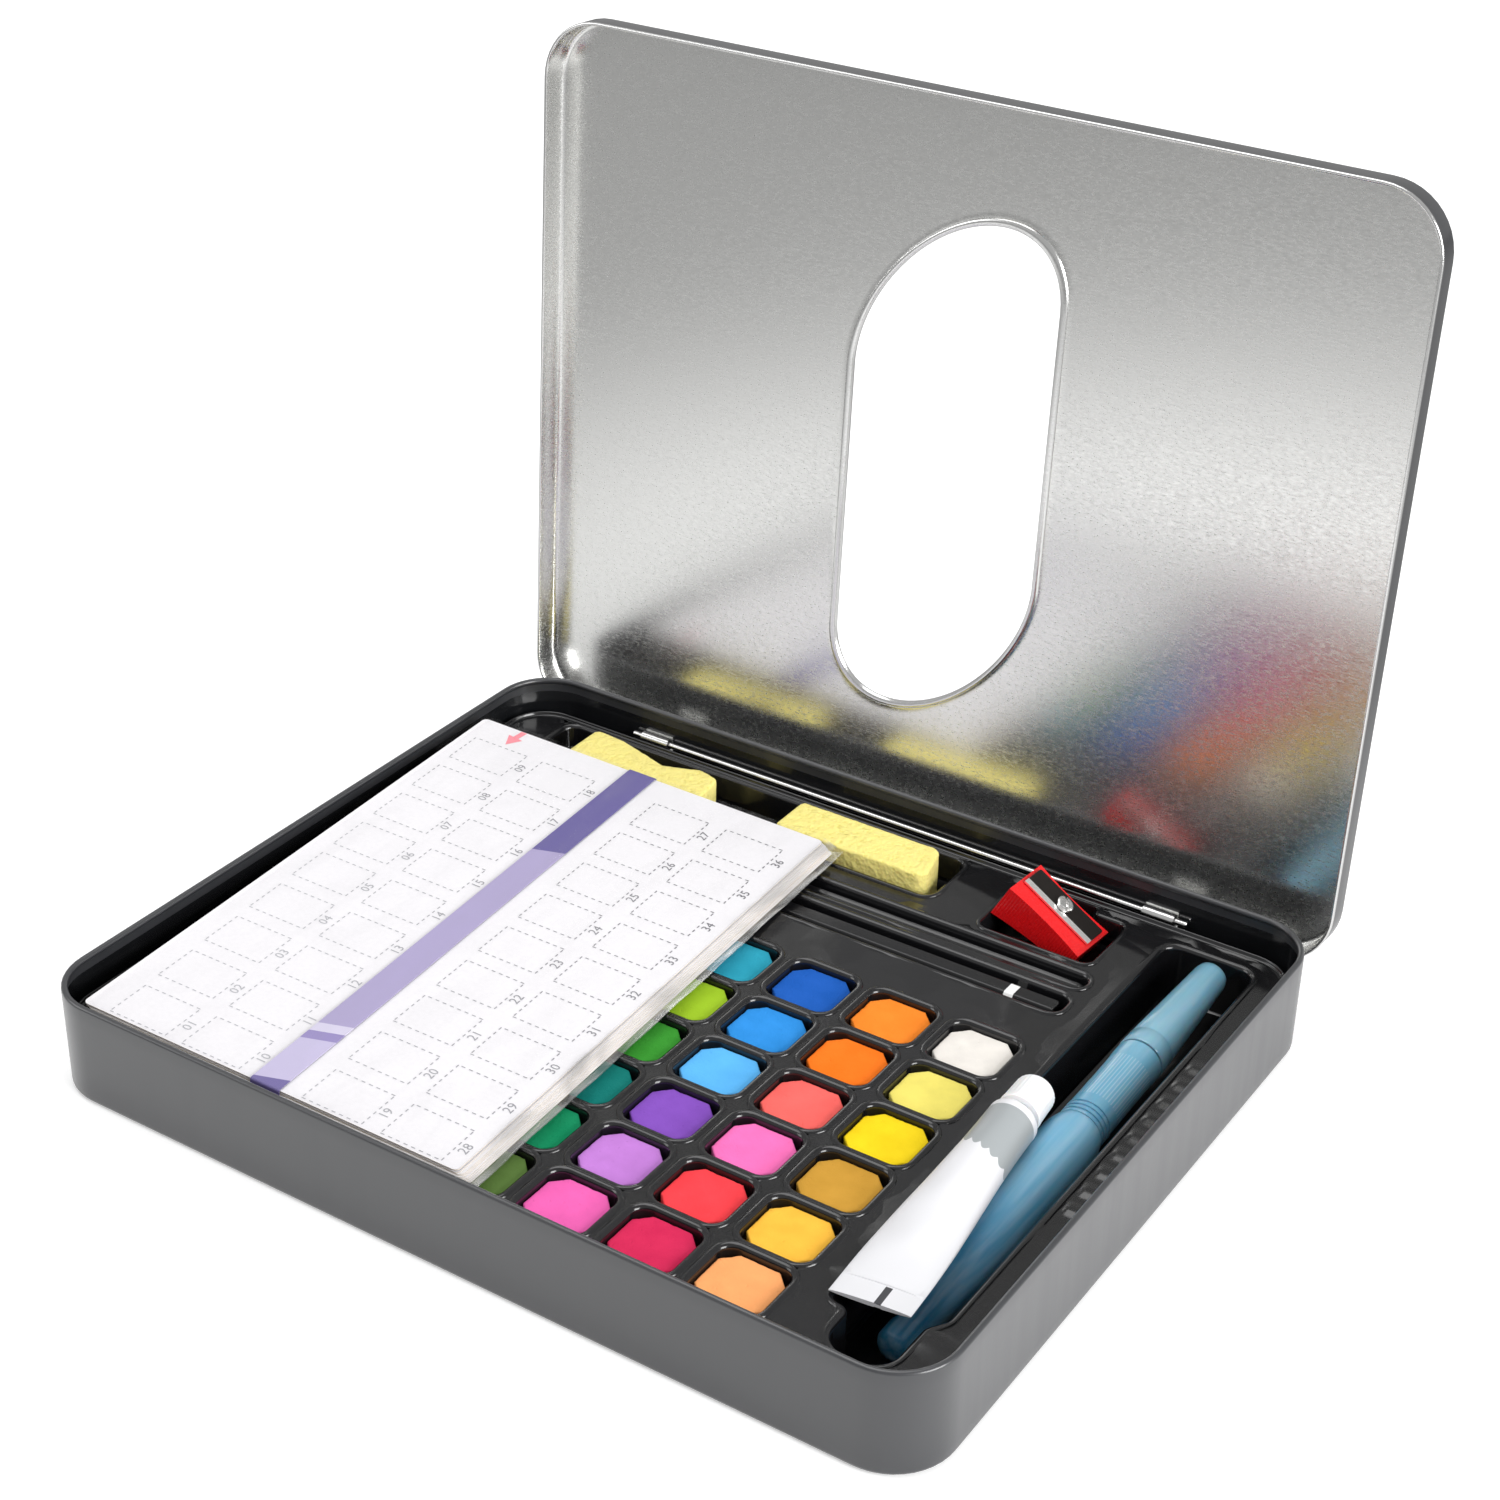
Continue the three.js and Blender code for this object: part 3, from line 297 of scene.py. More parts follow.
# The first and last rows are drawn in across the floor's two faces, where the caps close them.
base_grid[[0, -1], :, :2] = base_path * 0.6
columns = len(base_path)
base_faces = capped_faces(len(base_profile), columns)
base_caps = base_faces[-2:]
keep = np.ones(len(base_faces) - 2, bool)
slot_quads = []
low_row, high_row = wall_heights.index(SLOT_LOW), wall_heights.index(SLOT_HIGH)
on_back = np.abs(base_path[:, 1] - TIN_DEPTH / 2) < 1e-6
for x in SLOT_CENTRES:
    inside = np.where(on_back & (np.abs(base_path[:, 0] - x) < SLOT_HALF_WIDTH + 1e-3))[0]
    first, last = inside.min(), inside.max()
    for rows in (outer_rows, inner_rows):
        low, high = sorted((rows[low_row], rows[high_row]))
        for row in range(low, high):
            keep[row * columns + first : row * columns + last] = False
    across = list(range(first, last + 1))
    up_wall = list(range(low_row, high_row + 1))
    ring = [(low_row, c) for c in across] + [(r, last) for r in up_wall[1:]]
    ring += [(high_row, c) for c in across[::-1][1:]] + [(r, first) for r in up_wall[::-1][1:-1]]
    outer_ring, inner_ring = [[int(rows[r] * columns + c) for r, c in ring]
                              for rows in (outer_rows, inner_rows)]
    slot_quads += zip(outer_ring, outer_ring[1:] + outer_ring[:1],
                      inner_ring[1:] + inner_ring[:1], inner_ring)
kept = np.where(keep)[0]
base_indices = (kept >= inner_rows.min() * columns).astype(int).tolist()
base_indices += [1] * len(slot_quads) + [0, 1]
make_piece("base_pan", base_grid, [base_faces[i] for i in kept] + slot_quads + base_caps,
           [black_lacquer, inner_lacquer], "base", ["base_tin"], base_indices)

# Hinge wire
# A straight bright-plated steel wire that lies along the inside of the back wall. The lid's
# tabs curl round it.
WIRE_RADIUS = 0.9
WIRE_HALF_LENGTH = 88.4
HINGE_Y = 99.2
HINGE_Z = 18.6


def revolved_piece(name, profile, start, finish, materials, body, nodes, sides=48,
                   sharp=40):
    """A turned piece. Each profile row (distance, radius) is a circle of that radius round
    the axis from start to finish, at that distance from start. The end rows are at the axis."""
    start, finish = np.array(start, float), np.array(finish, float)
    along = (finish - start) / np.linalg.norm(finish - start)
    across = np.cross(along, (0, 0, 1) if abs(along[2]) < 0.9 else (1, 0, 0))
    across /= np.linalg.norm(across)
    third = np.cross(along, across)
    profile = np.array(profile, float)
    angle = np.linspace(0, 2 * np.pi, sides, endpoint=False)
    spoke = np.cos(angle)[:, None] * across + np.sin(angle)[:, None] * third
    grid = start + profile[:, 0, None, None] * along + profile[:, 1, None, None] * spoke[None]
    return make_piece(name, grid, grid_faces(len(profile), sides), materials, body, nodes,
                      None, sharp)


# Bright plated wire: a mirror-like metal with faint drawing lines along it.
plated_wire = plain_material("bright_plated_wire", "#e6e5e4", 0.12, 0.26,
                             stretch=(30.0, 3000.0, 3000.0), Metallic=1.0)

wire_length = 2 * WIRE_HALF_LENGTH
wire_profile = [(0, 0), (0, WIRE_RADIUS - 0.2), (0.2, WIRE_RADIUS), (20, WIRE_RADIUS),
                (wire_length - 0.2, WIRE_RADIUS), (wire_length, WIRE_RADIUS - 0.2),
                (wire_length, 0)]
revolved_piece("wire", wire_profile, (-WIRE_HALF_LENGTH, HINGE_Y, HINGE_Z),
               (WIRE_HALF_LENGTH, HINGE_Y, HINGE_Z), [plated_wire], "base", ["hinge_wire"],
               24)

# Lid
# A shallow pan of tinplate, lacquered black outside and left bare inside. A slanted oval
# window is cut in it, with its edge hemmed, and the free edge is rolled. Two tabs of the same
# sheet curl round the wire.
LID_WIDTH = 252.2
LID_DEPTH = 204.2
LID_CORNER = 17.1
LID_TOP = 29.4
LID_FREE_EDGE = 20.8
LID_BEND = 2.4
LID_BEAD = 0.48
LID_OPEN_DEGREES = 93
WINDOW_HALF_WIDTH = 29
WINDOW_HALF_STRAIGHT = 37
WINDOW_SHIFT = 1
WINDOW_SLANT = 0.45
HEM_WIDTH = 2.2
HEM_HEIGHT = 0.85
TAB_HALF_WIDTH = 4.5
TAB_SHEET = 0.6
TAB_CURL = 1.5


def opened(points):
    """Points of the shut lid turned about the wire to where the open lid stands."""
    points = np.array(points, float)
    angle = math.radians(-LID_OPEN_DEGREES)
    y, z = points[..., 1] - HINGE_Y, points[..., 2] - HINGE_Z
    points[..., 1] = HINGE_Y + y * math.cos(angle) - z * math.sin(angle)
    points[..., 2] = HINGE_Z + y * math.sin(angle) + z * math.cos(angle)
    return points.reshape(-1, 3)


def window_ring(margin):
    """Points of the oval, grown by a margin, in the same directions from its middle as the
    lid's edge. The oval is two half circles moved apart along y, then sheared along y."""
    radius = WINDOW_HALF_WIDTH + margin
    turn = np.linspace(0, 2 * np.pi, 1441)
    straight = WINDOW_HALF_STRAIGHT * np.clip(np.sin(turn) * 50, -1, 1)
    x = radius * np.cos(turn)
    y = radius * np.sin(turn) + straight - WINDOW_SLANT * x
    heading = np.unwrap(np.arctan2(y, x))
    wanted = np.mod(lid_heading - heading[0], 2 * np.pi) + heading[0]
    return np.stack([np.interp(wanted, heading, way) for way in (x, y - WINDOW_SHIFT)], 1)


# Bare tinplate: bright cold-rolled steel with a tin coat. Its fine rolling streaks run along
# the hinge and stretch reflections into a soft blur, so it mirrors the tray only dimly.
def tinplate_material(name, hex_colour, rough_low, rough_high):
    """Bare metal: streaks of a few tenths of a millimetre in roughness and bump."""
    material, place = new_material(name)
    streaks, rough = noise_range(material, place, rough_low, rough_high, ends=(0.3, 0.7),
                                 stretch=(650.0, 2000.0, 2000.0),
                                 more={"Detail": 3.0, "Roughness": 0.6})
    return finish_material(
        material, {"Base Color": hex_colour, "Metallic": 1.0, "Roughness": rough},
        dents=(streaks, 0.07, 0.0001))


bare_tin = tinplate_material("bare_tinplate", "#e4e4e2", 0.17, 0.31)
bright_edge = tinplate_material("rolled_bright_tinplate", "#dcdcdb", 0.16, 0.26)
lid_black = lacquer_material("lid_black_lacquer", "#242528", 0.36, 0.9)

lid_path, lid_normals = rounded_path(centred(LID_WIDTH, LID_DEPTH), LID_CORNER, 3)
lid_heading = np.arctan2(lid_path[:, 1] + WINDOW_SHIFT, lid_path[:, 0])
panel_ring = lid_path + lid_normals * (-LID_BEND - 1)


def panel_rows(height, shares):
    """Flat rows from the window's edge, at share 0, to the panel's edge, at share 1."""
    inner = window_ring(HEM_WIDTH + 1.5)
    plan = inner[None] + (panel_ring - inner)[None] * np.array(shares)[:, None, None]
    return np.concatenate([plan, np.full((*plan.shape[:2], 1), height)], 2)


lid_under = LID_TOP - TIN_SHEET
hem_low = lid_under - HEM_HEIGHT
bead_top = LID_FREE_EDGE + 2 * LID_BEAD + 0.3
bend_inside = LID_BEND - TIN_SHEET
shares = [0, 0.04, 0.2, 0.4, 0.6, 0.8, 0.96, 1]
skirt_profile = arc(-LID_BEND, LID_TOP - LID_BEND, LID_BEND, 90, 0, 8)
skirt_profile += [(0, bead_top)]
skirt_profile += arc(-LID_BEAD, LID_FREE_EDGE + LID_BEAD, LID_BEAD, 20, -200, 12)
skirt_profile += [(-TIN_SHEET, bead_top)]
skirt_profile += arc(-LID_BEND, lid_under - bend_inside, bend_inside, 0, 90, 8)
hem = [(HEM_WIDTH + 0.5, lid_under), (HEM_WIDTH, lid_under - 0.1),
       (HEM_WIDTH - 0.25, hem_low + 0.25), (HEM_WIDTH - 0.7, hem_low), (0.9, hem_low),
       (0.35, hem_low + 0.2), (0.05, hem_low + 0.7), (0, lid_under), (0.05, LID_TOP - 0.15),
       (0.3, LID_TOP), (HEM_WIDTH + 0.7, LID_TOP)]
hem_rows = np.stack([np.column_stack([window_ring(margin), np.full(len(lid_path), height)])
                     for margin, height in hem])
lid_grid = np.concatenate([panel_rows(LID_TOP, shares), swept(lid_path, lid_normals, skirt_profile),
                           panel_rows(lid_under, shares[::-1]), hem_rows])
bead_start = len(shares) + 10
hem_start = len(lid_grid) - len(hem)
row_finish = np.ones(len(lid_grid), int)
row_finish[:bead_start] = 0
row_finish[bead_start : bead_start + 12] = 2
row_finish[hem_start + 1 : hem_start + 8] = 2
row_finish[hem_start + 9 :] = 0
lid_points = [opened(lid_grid)]
lid_faces = [grid_faces(len(lid_grid), len(lid_path), closed_rows=True)]
lid_indices = [np.repeat(row_finish, len(lid_path))]

curl_turn = np.radians(np.linspace(300, 0, 22))
curl = np.stack([HINGE_Y + TAB_CURL * np.cos(curl_turn), HINGE_Z + TAB_CURL * np.sin(curl_turn)], 1)
arm_reach = LID_DEPTH / 2 - TIN_SHEET / 2
strip = np.concatenate([curl, [(arm_reach - 0.5, HINGE_Z), (arm_reach, HINGE_Z + 0.5),
                               (arm_reach, LID_FREE_EDGE + 1)]])
step = np.gradient(strip, axis=0)
step /= np.linalg.norm(step, axis=1)[:, None]
side = np.stack([-step[:, 1], step[:, 0]], 1) * TAB_SHEET / 2
loop = np.concatenate([strip + side, (strip - side)[::-1]])
tab_ends = [-TAB_HALF_WIDTH, -TAB_HALF_WIDTH + 0.2, TAB_HALF_WIDTH - 0.2, TAB_HALF_WIDTH]
rungs = np.arange(len(strip) - 1)
for x in SLOT_CENTRES:
    rows = np.stack([np.column_stack([np.full(len(loop), x + end), loop]) for end in tab_ends])
    offset = sum(len(part) for part in lid_points)
    tab_faces = [grid_faces(4, len(loop)) + offset]
    for end, order in ((0, 1), (3, -1)):
        near = offset + end * len(loop) + rungs
        far = offset + end * len(loop) + 2 * len(strip) - 1 - rungs
        tab_faces.append(np.stack([near, near + 1, far - 1, far], 1)[:, ::order])
    lid_points.append(opened(rows))
    lid_faces += tab_faces
    lid_indices.append(np.full(sum(len(part) for part in tab_faces), 2))
make_piece("lid_pan", np.concatenate(lid_points), np.concatenate(lid_faces),
           [lid_black, bare_tin, bright_edge], "lid", ["lid_tin"],
           np.concatenate(lid_indices), 35, flip=True)

# Tray
# One sheet of black polystyrene, vacuum-formed over a mould: every pocket hangs from the top
# with soft rims and tapered walls, and the edge turns up against the tin.
TRAY_TOP = 17.5
TRAY_SHEET = 0.45
TRAY_HALF_WIDTH = 123
TRAY_FRONT = -99
TRAY_BACK = 97.05
TRAY_CORNER = 13
TRAY_EDGE_RISE = 1.35
WELL_PITCH_X = 23.3
WELL_PITCH_Y = 20.6
WELL_FIRST_X = 68.6
WELL_FIRST_Y = 20.8
WELL_HALF_X = 9.7
WELL_HALF_Y = 9.2
WELL_CORNER = 4
WELL_FLOOR = 8.6
SLOT_FLOOR = 11
RIDGE_TOP = 15.4
FLUTE_ACROSS = (114.6, 120.4)
FLUTE_ALONG = (-27, 51)
FLUTE_PITCH = 8.1
FLUTE_RISE = 0.6


def pocket_profile(floor, rim, taper, foot, lip=0.0):
    """Rows from the flat top over a round rim and down a tapered wall to a round foot. A lip
    raises the rim a little above the sheet."""
    rows = [(rim + 0.55, TRAY_TOP), (rim + 0.3, TRAY_TOP + 0.15 * lip)]
    rows += arc(rim * 0.9, TRAY_TOP - rim + lip, rim, 90, 180, 6)
    rows += [(-taper * 0.5 - 0.1 * rim, (TRAY_TOP - rim + floor) * 0.5)]
    rows += arc(-taper - foot, floor + foot, foot, 0, -90, 5)
    return rows + [(-taper - foot - 0.5, floor)]


wells = [(column, row, WELL_FIRST_X - column * WELL_PITCH_X, WELL_FIRST_Y - row * WELL_PITCH_Y)
         for column in range(6) for row in range(6)]
well_shape = pocket_profile(WELL_FLOOR, 0.85, 0.5, 0.9, 0.12)
slot_shape = pocket_profile(SLOT_FLOOR, 0.8, 0.1, 0.3)[:-1]
slot_shape += [(-1.2, SLOT_FLOOR + 0.2), (-1.5, RIDGE_TOP - 0.8)]
slot_shape += arc(-2.2, RIDGE_TOP - 0.7, 0.7, 0, 90, 4) + [(-2.5, RIDGE_TOP - 0.05)]
# Outline, corner radii and wall of each pocket: the wells, the empty slot, the pencil's slot,
# the sponges' trough, the sharpener's well, the brush's compartment and the mixing palette.
pockets = [(rectangle(x - WELL_HALF_X, y - WELL_HALF_Y, x + WELL_HALF_X, y + WELL_HALF_Y),
            WELL_CORNER, well_shape) for _, _, x, y in wells]
pockets += [
    (rectangle(-104, 58, 78.9, 65), 3.3, slot_shape),
    (rectangle(-104, 45, 78.9, 54.4), 3.6, pocket_profile(9.6, 0.8, 0.1, 0.5)),
    (rectangle(-108, 73.5, 26, 94.6), 4, pocket_profile(5.5, 1.0, 0.2, 0.3)),
    ([(42.2, 69), (75.6, 69), (75.6, 91.6), (65.6, 91.6), (65.6, 95), (52.6, 95), (52.6, 91.6),
      (42.2, 91.6)], [3.2, 3.2, 3.0, 1.5, 1.8, 1.8, 1.5, 3.2],
     pocket_profile(9.2, 0.5, 0.2, 0.3)),
    ([(87.2, -76.5), (92.7, -76.5), (92.7, -89.4), (109.6, -89.4), (109.6, -72.8),
      (112.8, -68.2), (112.8, 90.6), (87.2, 90.6)], [3, 2.2, 6.5, 6.5, 4, 4, 5, 5],
     pocket_profile(1.4, 0.9, 0.2, 0.6)),
    (rectangle(-118, -88, -64, 36), 8, pocket_profile(11, 1.6, 0.5, 3)),
]
tray_points, tray_faces, rings = [], [], []
tray_count = 0
for corners, radii, profile in pockets:
    path, normals = rounded_path(corners, radii, 6)
    columns = len(path)
    tray_points.append(swept(path, normals, profile).reshape(-1, 3))
    tray_faces += (grid_faces(len(profile), columns) + tray_count).tolist()
    rings.append(list(range(tray_count, tray_count + columns)))
    tray_count += len(tray_points[-1])
    tray_faces.append(list(range(tray_count - columns, tray_count))[::-1])
edge_path, edge_normals = rounded_path(
    rectangle(-TRAY_HALF_WIDTH, TRAY_FRONT, TRAY_HALF_WIDTH, TRAY_BACK), TRAY_CORNER, 6)
edge_profile = [(-2.3, TRAY_TOP)] + arc(-1.9, TRAY_TOP + 1.2, 1.2, -90, -10, 6)
edge_profile += [(-0.55, TRAY_TOP + TRAY_EDGE_RISE)]
tray_points.append(swept(edge_path, edge_normals, edge_profile).reshape(-1, 3))
tray_faces += (grid_faces(len(edge_profile), len(edge_path)) + tray_count)[:, ::-1].tolist()
rings.insert(0, list(range(tray_count, tray_count + len(edge_path))))
tray_count += len(tray_points[-1])
# The ledge beside the long compartment has shallow cross flutes, which show as soft pale bars.
# They are a patch of points that rises and falls, inside the tray's flat.
flute_x, flute_y = np.meshgrid(np.linspace(*FLUTE_ACROSS, 10),
                               np.arange(*FLUTE_ALONG, FLUTE_PITCH / 10), indexing="ij")
flute_fade = [np.clip(steep * (1 - np.abs(place - sum(ends) / 2) / (np.ptp(ends) / 2)), 0, 1)
              for place, ends, steep in ((flute_x, FLUTE_ACROSS, 2.2), (flute_y, FLUTE_ALONG, 6))]
flute_wave = 0.5 - 0.5 * np.cos(2 * np.pi * flute_y / FLUTE_PITCH)
flute_z = TRAY_TOP + FLUTE_RISE * flute_wave * flute_fade[0] * flute_fade[1]
tray_points.append(np.stack([flute_x, flute_y, flute_z], 2).reshape(-1, 3))
flat_index = np.concatenate([*rings, tray_count + np.arange(flute_x.size)]).astype(int)
tray_count += flute_x.size
flat = [Vector(p) for p in np.concatenate(tray_points)[flat_index, :2].tolist()]
ring_ends = np.cumsum([0] + [len(ring) for ring in rings])
ring_faces = [list(range(*ends)) for ends in zip(ring_ends, ring_ends[1:])]
made, _, triangles, origins, _, face_origins = delaunay_2d_cdt(flat, [], ring_faces, 1, 1e-5)
new_places = []
for spot, source in zip(made, origins):
    if source:
        new_places.append(int(flat_index[source[0]]))
    else:
        new_places.append(tray_count)
        tray_points.append(np.array([[*spot, TRAY_TOP]]))
        tray_count += 1
tray_faces += [[new_places[i] for i in triangle][::-1]
               for triangle, source in zip(triangles, face_origins) if set(source) == {0}]

# Formed polystyrene sheet: black, half glossy on the top, with the soft waviness that the
# vacuum leaves, so lamps draw broken lines along the rims.
tray_plastic, place = new_material("formed_black_polystyrene")
wave = add_node(tray_plastic, "TexNoise", {"Vector": place, "Scale": 160.0, "Detail": 3.0})
_, rough = noise_range(tray_plastic, place, 0.11, 0.22, 60.0, more={"Detail": 5.0})
finish_material(tray_plastic, {"Base Color": "#141416", "IOR": 1.6, "Roughness": rough},
                dents=(wave, 0.2, 0.0003))

tray_piece = make_piece("formed_tray", np.concatenate(tray_points), tray_faces, [tray_plastic],
                        "tray", ["tray_side", "tray_back", "tray_wells", "tray_palette"],
                        None, 60, flip=True)
tray_wall = tray_piece.modifiers.new("sheet", "SOLIDIFY")
tray_wall.thickness = TRAY_SHEET * 0.001
tray_wall.offset = -1

# Paint cakes
# Dry watercolour pressed into eight-sided blocks, one in each well, with chalky tops and
# crumbled upper edges.
CAKE_HALF_X = 8.8
CAKE_HALF_Y = 8.3
CAKE_CUT = 3.6
CAKE_LOW = 8.9
CAKE_TOP = 16.3
CAKE_ROUND = 0.4
CAKE_BITE = 0.07
CAKE_HEX = [
    ["#e9e4dd", "#f3e472", "#fbd91c", "#cb983a", "#fcbe43", "#fbaa6b"],
    ["#fd8b2c", "#fd7a1e", "#fb6a64", "#fb74bb", "#f8434b", "#d62a58"],
    ["#1c5cb8", "#2f8fdf", "#5db4f2", "#8450ba", "#c07ed2", "#ee64b2"],
    ["#2ea3bd", "#a4cc2c", "#3c9a33", "#117d75", "#129060", "#5c7a3c"],
    ["#1f3f8a", "#2a6f6b", "#7a9a3a", "#8a5a2b", "#6b3f24", "#4a2f22"],
    ["#9a9ea3", "#6d7278", "#3f4347", "#b98a5a", "#8f2f2a", "#1c1c1e"],
]


def drawn_in(grid, shares):
    """The grid with more rings after its last: each keeps a share of every point's distance
    from that ring's middle."""
    ring = grid[-1]
    middle = ring.mean(0)
    inner = middle + (ring - middle)[None] * np.array(shares, float)[:, None, None]
    return np.concatenate([grid, inner])


def cake_material(name, hex_colour):
    """Pressed pigment: a chalky surface with specks, small pits and a fine grain."""
    material, place = new_material(name)
    grain = add_node(material, "TexNoise",
                     {"Vector": place, "Scale": 1500.0, "Detail": 5.0, "Roughness": 0.7})
    _, shade = noise_range(material, place, 0, 1, 170.0, (0.3, 0.7), more={"Detail": 3.0})
    pits = add_node(material, "TexVoronoi", {"Vector": place, "Scale": 420.0})
    pit = add_node(material, "MapRange", {"Value": pits, "From Max": 0.16})
    height = add_node(material, "Math", {0: grain, 1: pit}, operation="ADD")
    return finish_material(
        material, {"Roughness": 0.92, "IOR": 1.35, "Specular IOR Level": 0.2},
        (shade, linear(hex_colour, 0.93), linear(hex_colour, 1.04, 0.005)),
        (height, 0.5, 0.0003))


cake_x, cake_y = CAKE_HALF_X - CAKE_CUT, CAKE_HALF_Y - CAKE_CUT
cake_corners = [(CAKE_HALF_X, cake_y), (cake_x, CAKE_HALF_Y), (-cake_x, CAKE_HALF_Y),
                (-CAKE_HALF_X, cake_y), (-CAKE_HALF_X, -cake_y), (-cake_x, -CAKE_HALF_Y),
                (cake_x, -CAKE_HALF_Y), (CAKE_HALF_X, -cake_y)]
cake_path, cake_normals = rounded_path(cake_corners, 0.6, 0.5)
cake_profile = [(-0.4, CAKE_LOW), (0, CAKE_LOW + 0.4), (0, CAKE_TOP - 0.45)]
cake_profile += arc(-CAKE_ROUND, CAKE_TOP - CAKE_ROUND, CAKE_ROUND, 0, 90, 5)
worn = np.array([0, 0, 0.2, 0.6, 1, 1, 1, 0.9, 0.7, 0.4, 0.1, 0, 0])[:, None]
chance = np.random.default_rng(36)
for column, row, x, y in wells:
    cake_grid = drawn_in(swept(cake_path, cake_normals, cake_profile), (0.88, 0.7, 0.45, 0.2))
    crumble = chance.normal(0, 1, len(cake_path))
    crumble = (crumble + np.roll(crumble, 1) + np.roll(crumble, -1)) / 3
    bite = np.abs(crumble) * CAKE_BITE * worn
    cake_grid[..., :2] -= cake_normals[None] * bite[..., None]
    cake_grid[..., 2] -= bite * 0.7
    cake_grid[..., :2] += (x, y)
    place_name = "abcdef"[column] + str(row + 1)
    make_piece(f"cake_{place_name}_block", cake_grid, capped_faces(len(cake_grid), len(cake_path)),
               [cake_material(f"pressed_pigment_{place_name}", CAKE_HEX[column][row])], "tray",
               [f"cake_{place_name}"], None, 50)

# Pencil
# A six-sided wooden casing with black gloss lacquer and a white ring near its end, round a
# graphite lead. It lies in the front slot.
PENCIL_ACROSS = 7.2
PENCIL_RADIUS = PENCIL_ACROSS / math.sqrt(3)
PENCIL_RIGHT = 76.3
PENCIL_LEFT = -97.7
PENCIL_Y = 45.3 + PENCIL_RADIUS
PENCIL_Z = 9.9 + PENCIL_ACROSS / 2
LEAD_RADIUS = 1.1
RING_LEFT = 62.6
RING_RIGHT = 65.2

# Pencil lacquer: black, glossy, with one printed white ring across the casing.
pencil_lacquer, place = new_material("pencil_gloss_lacquer")
pencil_x = add_node(pencil_lacquer, "SeparateXYZ", {"Vector": place}).outputs["X"]
after, before = [add_node(pencil_lacquer, "Math", {0: pencil_x, 1: limit * 0.001}, operation=kind)
                 for limit, kind in ((RING_LEFT, "GREATER_THAN"), (RING_RIGHT, "LESS_THAN"))]
ring_mask = add_node(pencil_lacquer, "Math", {0: after, 1: before}, operation="MULTIPLY")
finish_material(pencil_lacquer, {"Roughness": 0.22, "IOR": 1.5},
                (ring_mask, "#121214", "#f1f1f0"))

hexagon_turn = np.radians(np.arange(0, 360, 60))
hexagon = PENCIL_RADIUS * np.stack([np.cos(hexagon_turn), np.sin(hexagon_turn)], 1)
hexagon_path, _ = rounded_path(hexagon, 0.7, 4)
pencil_rows = [(PENCIL_RIGHT, 0.26), (PENCIL_RIGHT, 0.9), (PENCIL_RIGHT - 0.35, 1.0),
               (PENCIL_RIGHT - 60, 1.0), (PENCIL_LEFT + 22, 1.0), (PENCIL_LEFT + 20, 0.88),
               (PENCIL_LEFT, 0.36), (PENCIL_LEFT, 0.26)]
pencil_grid = np.stack([np.column_stack([np.full(len(hexagon_path), x), hexagon_path * scale
                                         + (PENCIL_Y, PENCIL_Z)]) for x, scale in pencil_rows])
make_piece("pencil_shaft", pencil_grid, grid_faces(len(pencil_rows), len(hexagon_path)),
           [pencil_lacquer], "pencil", ["pencil_casing"], None, 25, flip=True)

# Graphite: a dull grey half-metal, a little blotched in gloss.
graphite = plain_material("graphite_lead", "#3c3d40", 0.35, 0.6, 2200.0, Metallic=0.3)
lead_length = PENCIL_RIGHT - PENCIL_LEFT
revolved_piece("pencil_core", [(0, 0), (0, LEAD_RADIUS - 0.1), (0.1, LEAD_RADIUS),
                               (lead_length, LEAD_RADIUS), (lead_length + 3.8, 0.15),
                               (lead_length + 3.9, 0)],
               (PENCIL_RIGHT - 0.05, PENCIL_Y, PENCIL_Z), (PENCIL_LEFT, PENCIL_Y, PENCIL_Z),
               [graphite], "pencil", ["pencil_lead"], 20)

# Sponges
# Two blocks cut from yellow open-cell foam, which stand in the trough. Cutting leaves square
# sides, softly rounded edges and small open pores.
SPONGE_LOW = 5.95
SPONGE_TOP = 22
SPONGE_ROUND = 0.8

# Open-cell foam: pores under a millimetre across are dents in the bump, and their dark dots
# are painted shade, darkest where the dents are deepest. The light that gets a little way in
# softens them.
foam, place = new_material("cut_yellow_foam")
cells, coarse = [add_node(foam, "TexVoronoi", {"Vector": place, "Scale": scale})
                 for scale in (900.0, 430.0)]
depth = add_node(foam, "Math", {0: cells, 1: coarse}, operation="ADD")
# Painted shade: the foam's colour darkens where its pores dent the surface.
shade = add_node(foam, "MapRange", {"Value": depth, "From Min": 0.1, "From Max": 0.8})
finish_material(
    foam, {"Roughness": 0.95, "Specular IOR Level": 0.15, "Subsurface Weight": 0.15,
           "Subsurface Scale": 0.003, "Subsurface Radius": (1.0, 0.8, 0.3)},
    (shade, "#dfcc66", "#f1e38a"), (depth, 0.6, 0.0004))


def sponge_block(name, node, body, plan, radii, seed):
    """A foam block: its plan outline swept up with soft edges, then roughened by noise."""
    path, normals = rounded_path(plan, radii, 0.9)
    profile = arc(-SPONGE_ROUND, SPONGE_LOW + SPONGE_ROUND, SPONGE_ROUND, -90, 0, 4)
    profile += [(0.0, z) for z in np.arange(SPONGE_LOW + 2, SPONGE_TOP - 1.2, 0.9)]
    profile += arc(-SPONGE_ROUND, SPONGE_TOP - SPONGE_ROUND, SPONGE_ROUND, 0, 90, 5)
    grid = drawn_in(swept(path, normals, profile), (0.95, 0.88, 0.8, 0.7, 0.58, 0.44, 0.28, 0.12))
    noise = np.random.default_rng(seed).normal(0, 0.03, grid.shape)
    pull = 0.05 * np.sign(grid - np.array([*path.mean(0), 14]))
    grid += (noise + np.roll(noise, 1, 0) + np.roll(noise, 1, 1)) / 1.7 - pull
    piece = make_piece(name, grid, capped_faces(len(grid), len(path)), [foam], body, [node],
                       None, 180)


